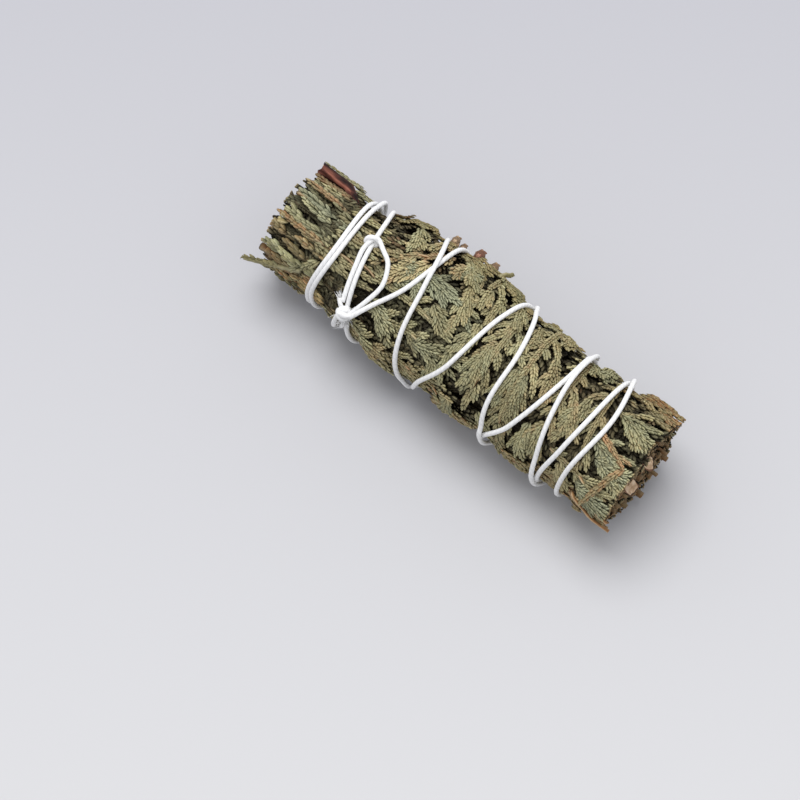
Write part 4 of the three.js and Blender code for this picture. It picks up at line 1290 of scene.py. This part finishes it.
def fromBundle(points):
    axis = np.array([0, -bundle["middle"][1], bundle["axisHeight"]]) / 1000
    return unit((points - axis) * np.array([0, 1, 1]))


def stringTube(points, radius=string["radius"], normals=None):
    normals = fromBundle(points) if normals is None else normals
    return tubePart(points, radius / 1000, string["sides"], cottonTint, normals, string["twist"], string["ply"])


def crossingLift(w, x):
    # How far the way out rises where the way back runs under it
    nearest = np.full(len(w), far)
    for k in range(6):
        v = string["crossedFrom"] + (w - string["crossedFrom"]) % 360 + 360 * k
        away = np.abs(x - curveThrough(routeBack, v))
        nearest = np.where(v < routeBack[-1][0], np.minimum(nearest, away), nearest)
    return (2 * string["radius"] - 0.1) * (1 - smoothstep(nearest, 0.8, 3.2))


def liftOut(w, x):
    humps = [string["hump"] * (1 - smoothstep(np.abs(w - at), 18, 44)) for at in string["humps"]]
    crossing = crossingLift(w, x) * (1 - smoothstep(w, 2620, 2680))
    return np.max([1.5 * (1 - smoothstep(w, 50, 100)), *humps, crossing], 0)


def liftBack(w, x):
    return string["hump"] * smoothstep(w, 3975, 4000)


def windings(route, liftAt):
    w = np.arange(route[0][0], route[-1][0] + 0.01, string["step"])
    x = curveThrough(route, w)
    for at, pull in string["pulls"]:
        x = x + pull * (1 - smoothstep(np.abs(w - at), 80, 130))
    return stringTube(stringPoints(w, x, liftAt(w, x)))


def loopsAround(spot, loops):
    centre = stringPoints(*spot)
    out, ahead = fromBundle(centre), np.array([1, 0, 0])
    side = np.cross(out, ahead)
    turn = np.linspace(0, 2 * np.pi * 0.985, 40)[:, None]
    for tip, spin, rise, radius, thick in loops:
        axis = math.cos(spin) * ahead + math.sin(spin) * side
        axisUp = out * math.cos(tip) + np.cross(axis, out) * math.sin(tip)
        ring = (np.cos(turn) * axis + np.sin(turn) * np.cross(axisUp, axis)) * radius
        yield stringTube(centre + (out * rise + ring) / 1000, thick, np.broadcast_to(axisUp, ring.shape))


def tuft(start, direction, count, length, spread, thick):
    # Frayed fibres: thin tapered threads that fan out from a spot
    for _ in range(count):
        way = unit(direction + np.array([chance.gauss(0, spread) for _ in range(3)]))
        droop = np.array([chance.gauss(0, 0.25), chance.gauss(0, 0.25), draw(-0.35, 0.1)])
        reach = length * draw(0.5, 1.1)
        t = np.linspace(0, 1, 5)[:, None]
        foot = start + np.array([chance.gauss(0, 0.00022) for _ in range(3)])
        line = foot + (way * t + droop * t * t) * reach
        yield tubePart(line, np.array([1, 0.9, 0.8, 0.6, 0.3]) * thick, 4, cottonTint, fromBundle(line))


def makeString():
    parts = [windings(routeOut, liftOut), windings(routeBack, liftBack)]
    parts.append(stringTube(stringPoints(*curveColumns(ear, 90))))
    for tail in string["tails"]:
        run = stringPoints(*curveColumns(tail, 16))
        parts.append(stringTube(run, string["radius"] * np.linspace(1, 0.85, 16)))
        parts.extend(tuft(run[-1], unit(run[-1] - run[-3]), 26, 0.0016, 0.35, 0.00007))
    parts.extend(loopsAround(string["knotAt"], string["knotLoops"]))
    parts.extend(loopsAround(string["hitchAt"], string["hitchLoops"]))
    knot = stringPoints(*string["knotAt"])
    down = unit(stringPoints(*string["frayTowards"]) - knot)
    parts.extend(tuft(knot + down * 0.0004, down, 150, 0.0036, 0.4, 0.00009))
    parts.extend(tuft(knot, fromBundle(knot), 60, 0.0014, 0.8, 0.00008))
    finishPiece("cotton_string", parts, cottonMaterial())


makeString()
print("string wound:", triangleCount["cotton_string"], "triangles")


# Floor, light and camera
studio = {
    "floorSize": 6,
    # Floor colours far from and near the camera: painted light falloff
    "floorFar": (0.43, 0.43, 0.46),
    "floorNear": (0.57, 0.57, 0.58),
    "worldColour": (0.96, 0.965, 1, 1),
    "worldLight": 0.72,
    "keyAt": (-0.3, 0.28, 1.25),
    "keyPower": 14,
    "keySize": 1,
}
view = {
    "azimuth": 39,
    "elevation": 68,
    "distance": 0.7,
    "metresPerPixel": 0.0002193,
    "facePixel": (456, 334),
    "pixels": 800,
    "sensor": 36,
}
scene = bpy.context.scene
scene.view_settings.view_transform = "Standard"


def studioFloor():
    bpy.ops.mesh.primitive_plane_add(size=studio["floorSize"], location=(0, 0, 0))
    floor = bpy.context.object
    floor.name = "floor"
    m = Shading("floor paper", 0.9)
    x, y = m.node("SeparateXYZ", {0: m.objectSpot()}).outputs[:2]
    # Painted light falloff: the floor is lighter towards the camera and darker far off
    away = m.plus(m.plus(m.times(x, -3.1), m.times(y, 3.9)), 0.5)
    m.feed(m.shader, {"Base Color": m.ramp(away, [(0, studio["floorNear"]), (1, studio["floorFar"])])})
    floor.data.materials.append(m.material)


def keyLight():
    bpy.ops.object.light_add(type="AREA", location=studio["keyAt"])
    light = bpy.context.object
    light.name = "key"
    light.data.shape = "DISK"
    light.data.size = studio["keySize"]
    light.data.energy = studio["keyPower"]
    light.rotation_euler = (-Vector(studio["keyAt"])).to_track_quat("-Z", "Y").to_euler()


def worldLight():
    scene.world = bpy.data.worlds.new("studio")
    scene.world.use_nodes = True
    background = scene.world.node_tree.nodes["Background"]
    background.inputs["Color"].default_value = studio["worldColour"]
    background.inputs["Strength"].default_value = studio["worldLight"]


def placeCamera():
    # The bundle's face at its middle lands on facePixel of the square picture
    azimuth, elevation = math.radians(view["azimuth"]), math.radians(view["elevation"])
    level = math.cos(elevation)
    backward = Vector((math.sin(azimuth) * level, -math.cos(azimuth) * level, math.sin(elevation)))
    rightward = Vector((math.cos(azimuth), math.sin(azimuth), 0))
    upward = backward.cross(rightward)
    right, down = ((at - view["pixels"] / 2) * view["metresPerPixel"] for at in view["facePixel"])
    aim = Vector(place(0, 0).tolist()) - rightward * right + upward * down
    bpy.ops.object.camera_add(location=aim + backward * view["distance"])
    camera = bpy.context.object
    camera.rotation_mode = "QUATERNION"
    camera.rotation_quaternion = (-backward).to_track_quat("-Z", "Y")
    camera.data.sensor_width = view["sensor"]
    camera.data.lens = view["sensor"] * view["distance"] / (view["pixels"] * view["metresPerPixel"])
    camera.data.clip_start, camera.data.clip_end = 0.01, 20
    scene.camera = camera


studioFloor()
keyLight()
worldLight()
placeCamera()
print("studio set")

print("triangles:", sum(triangleCount.values()), "largest piece:", max(triangleCount.values()))
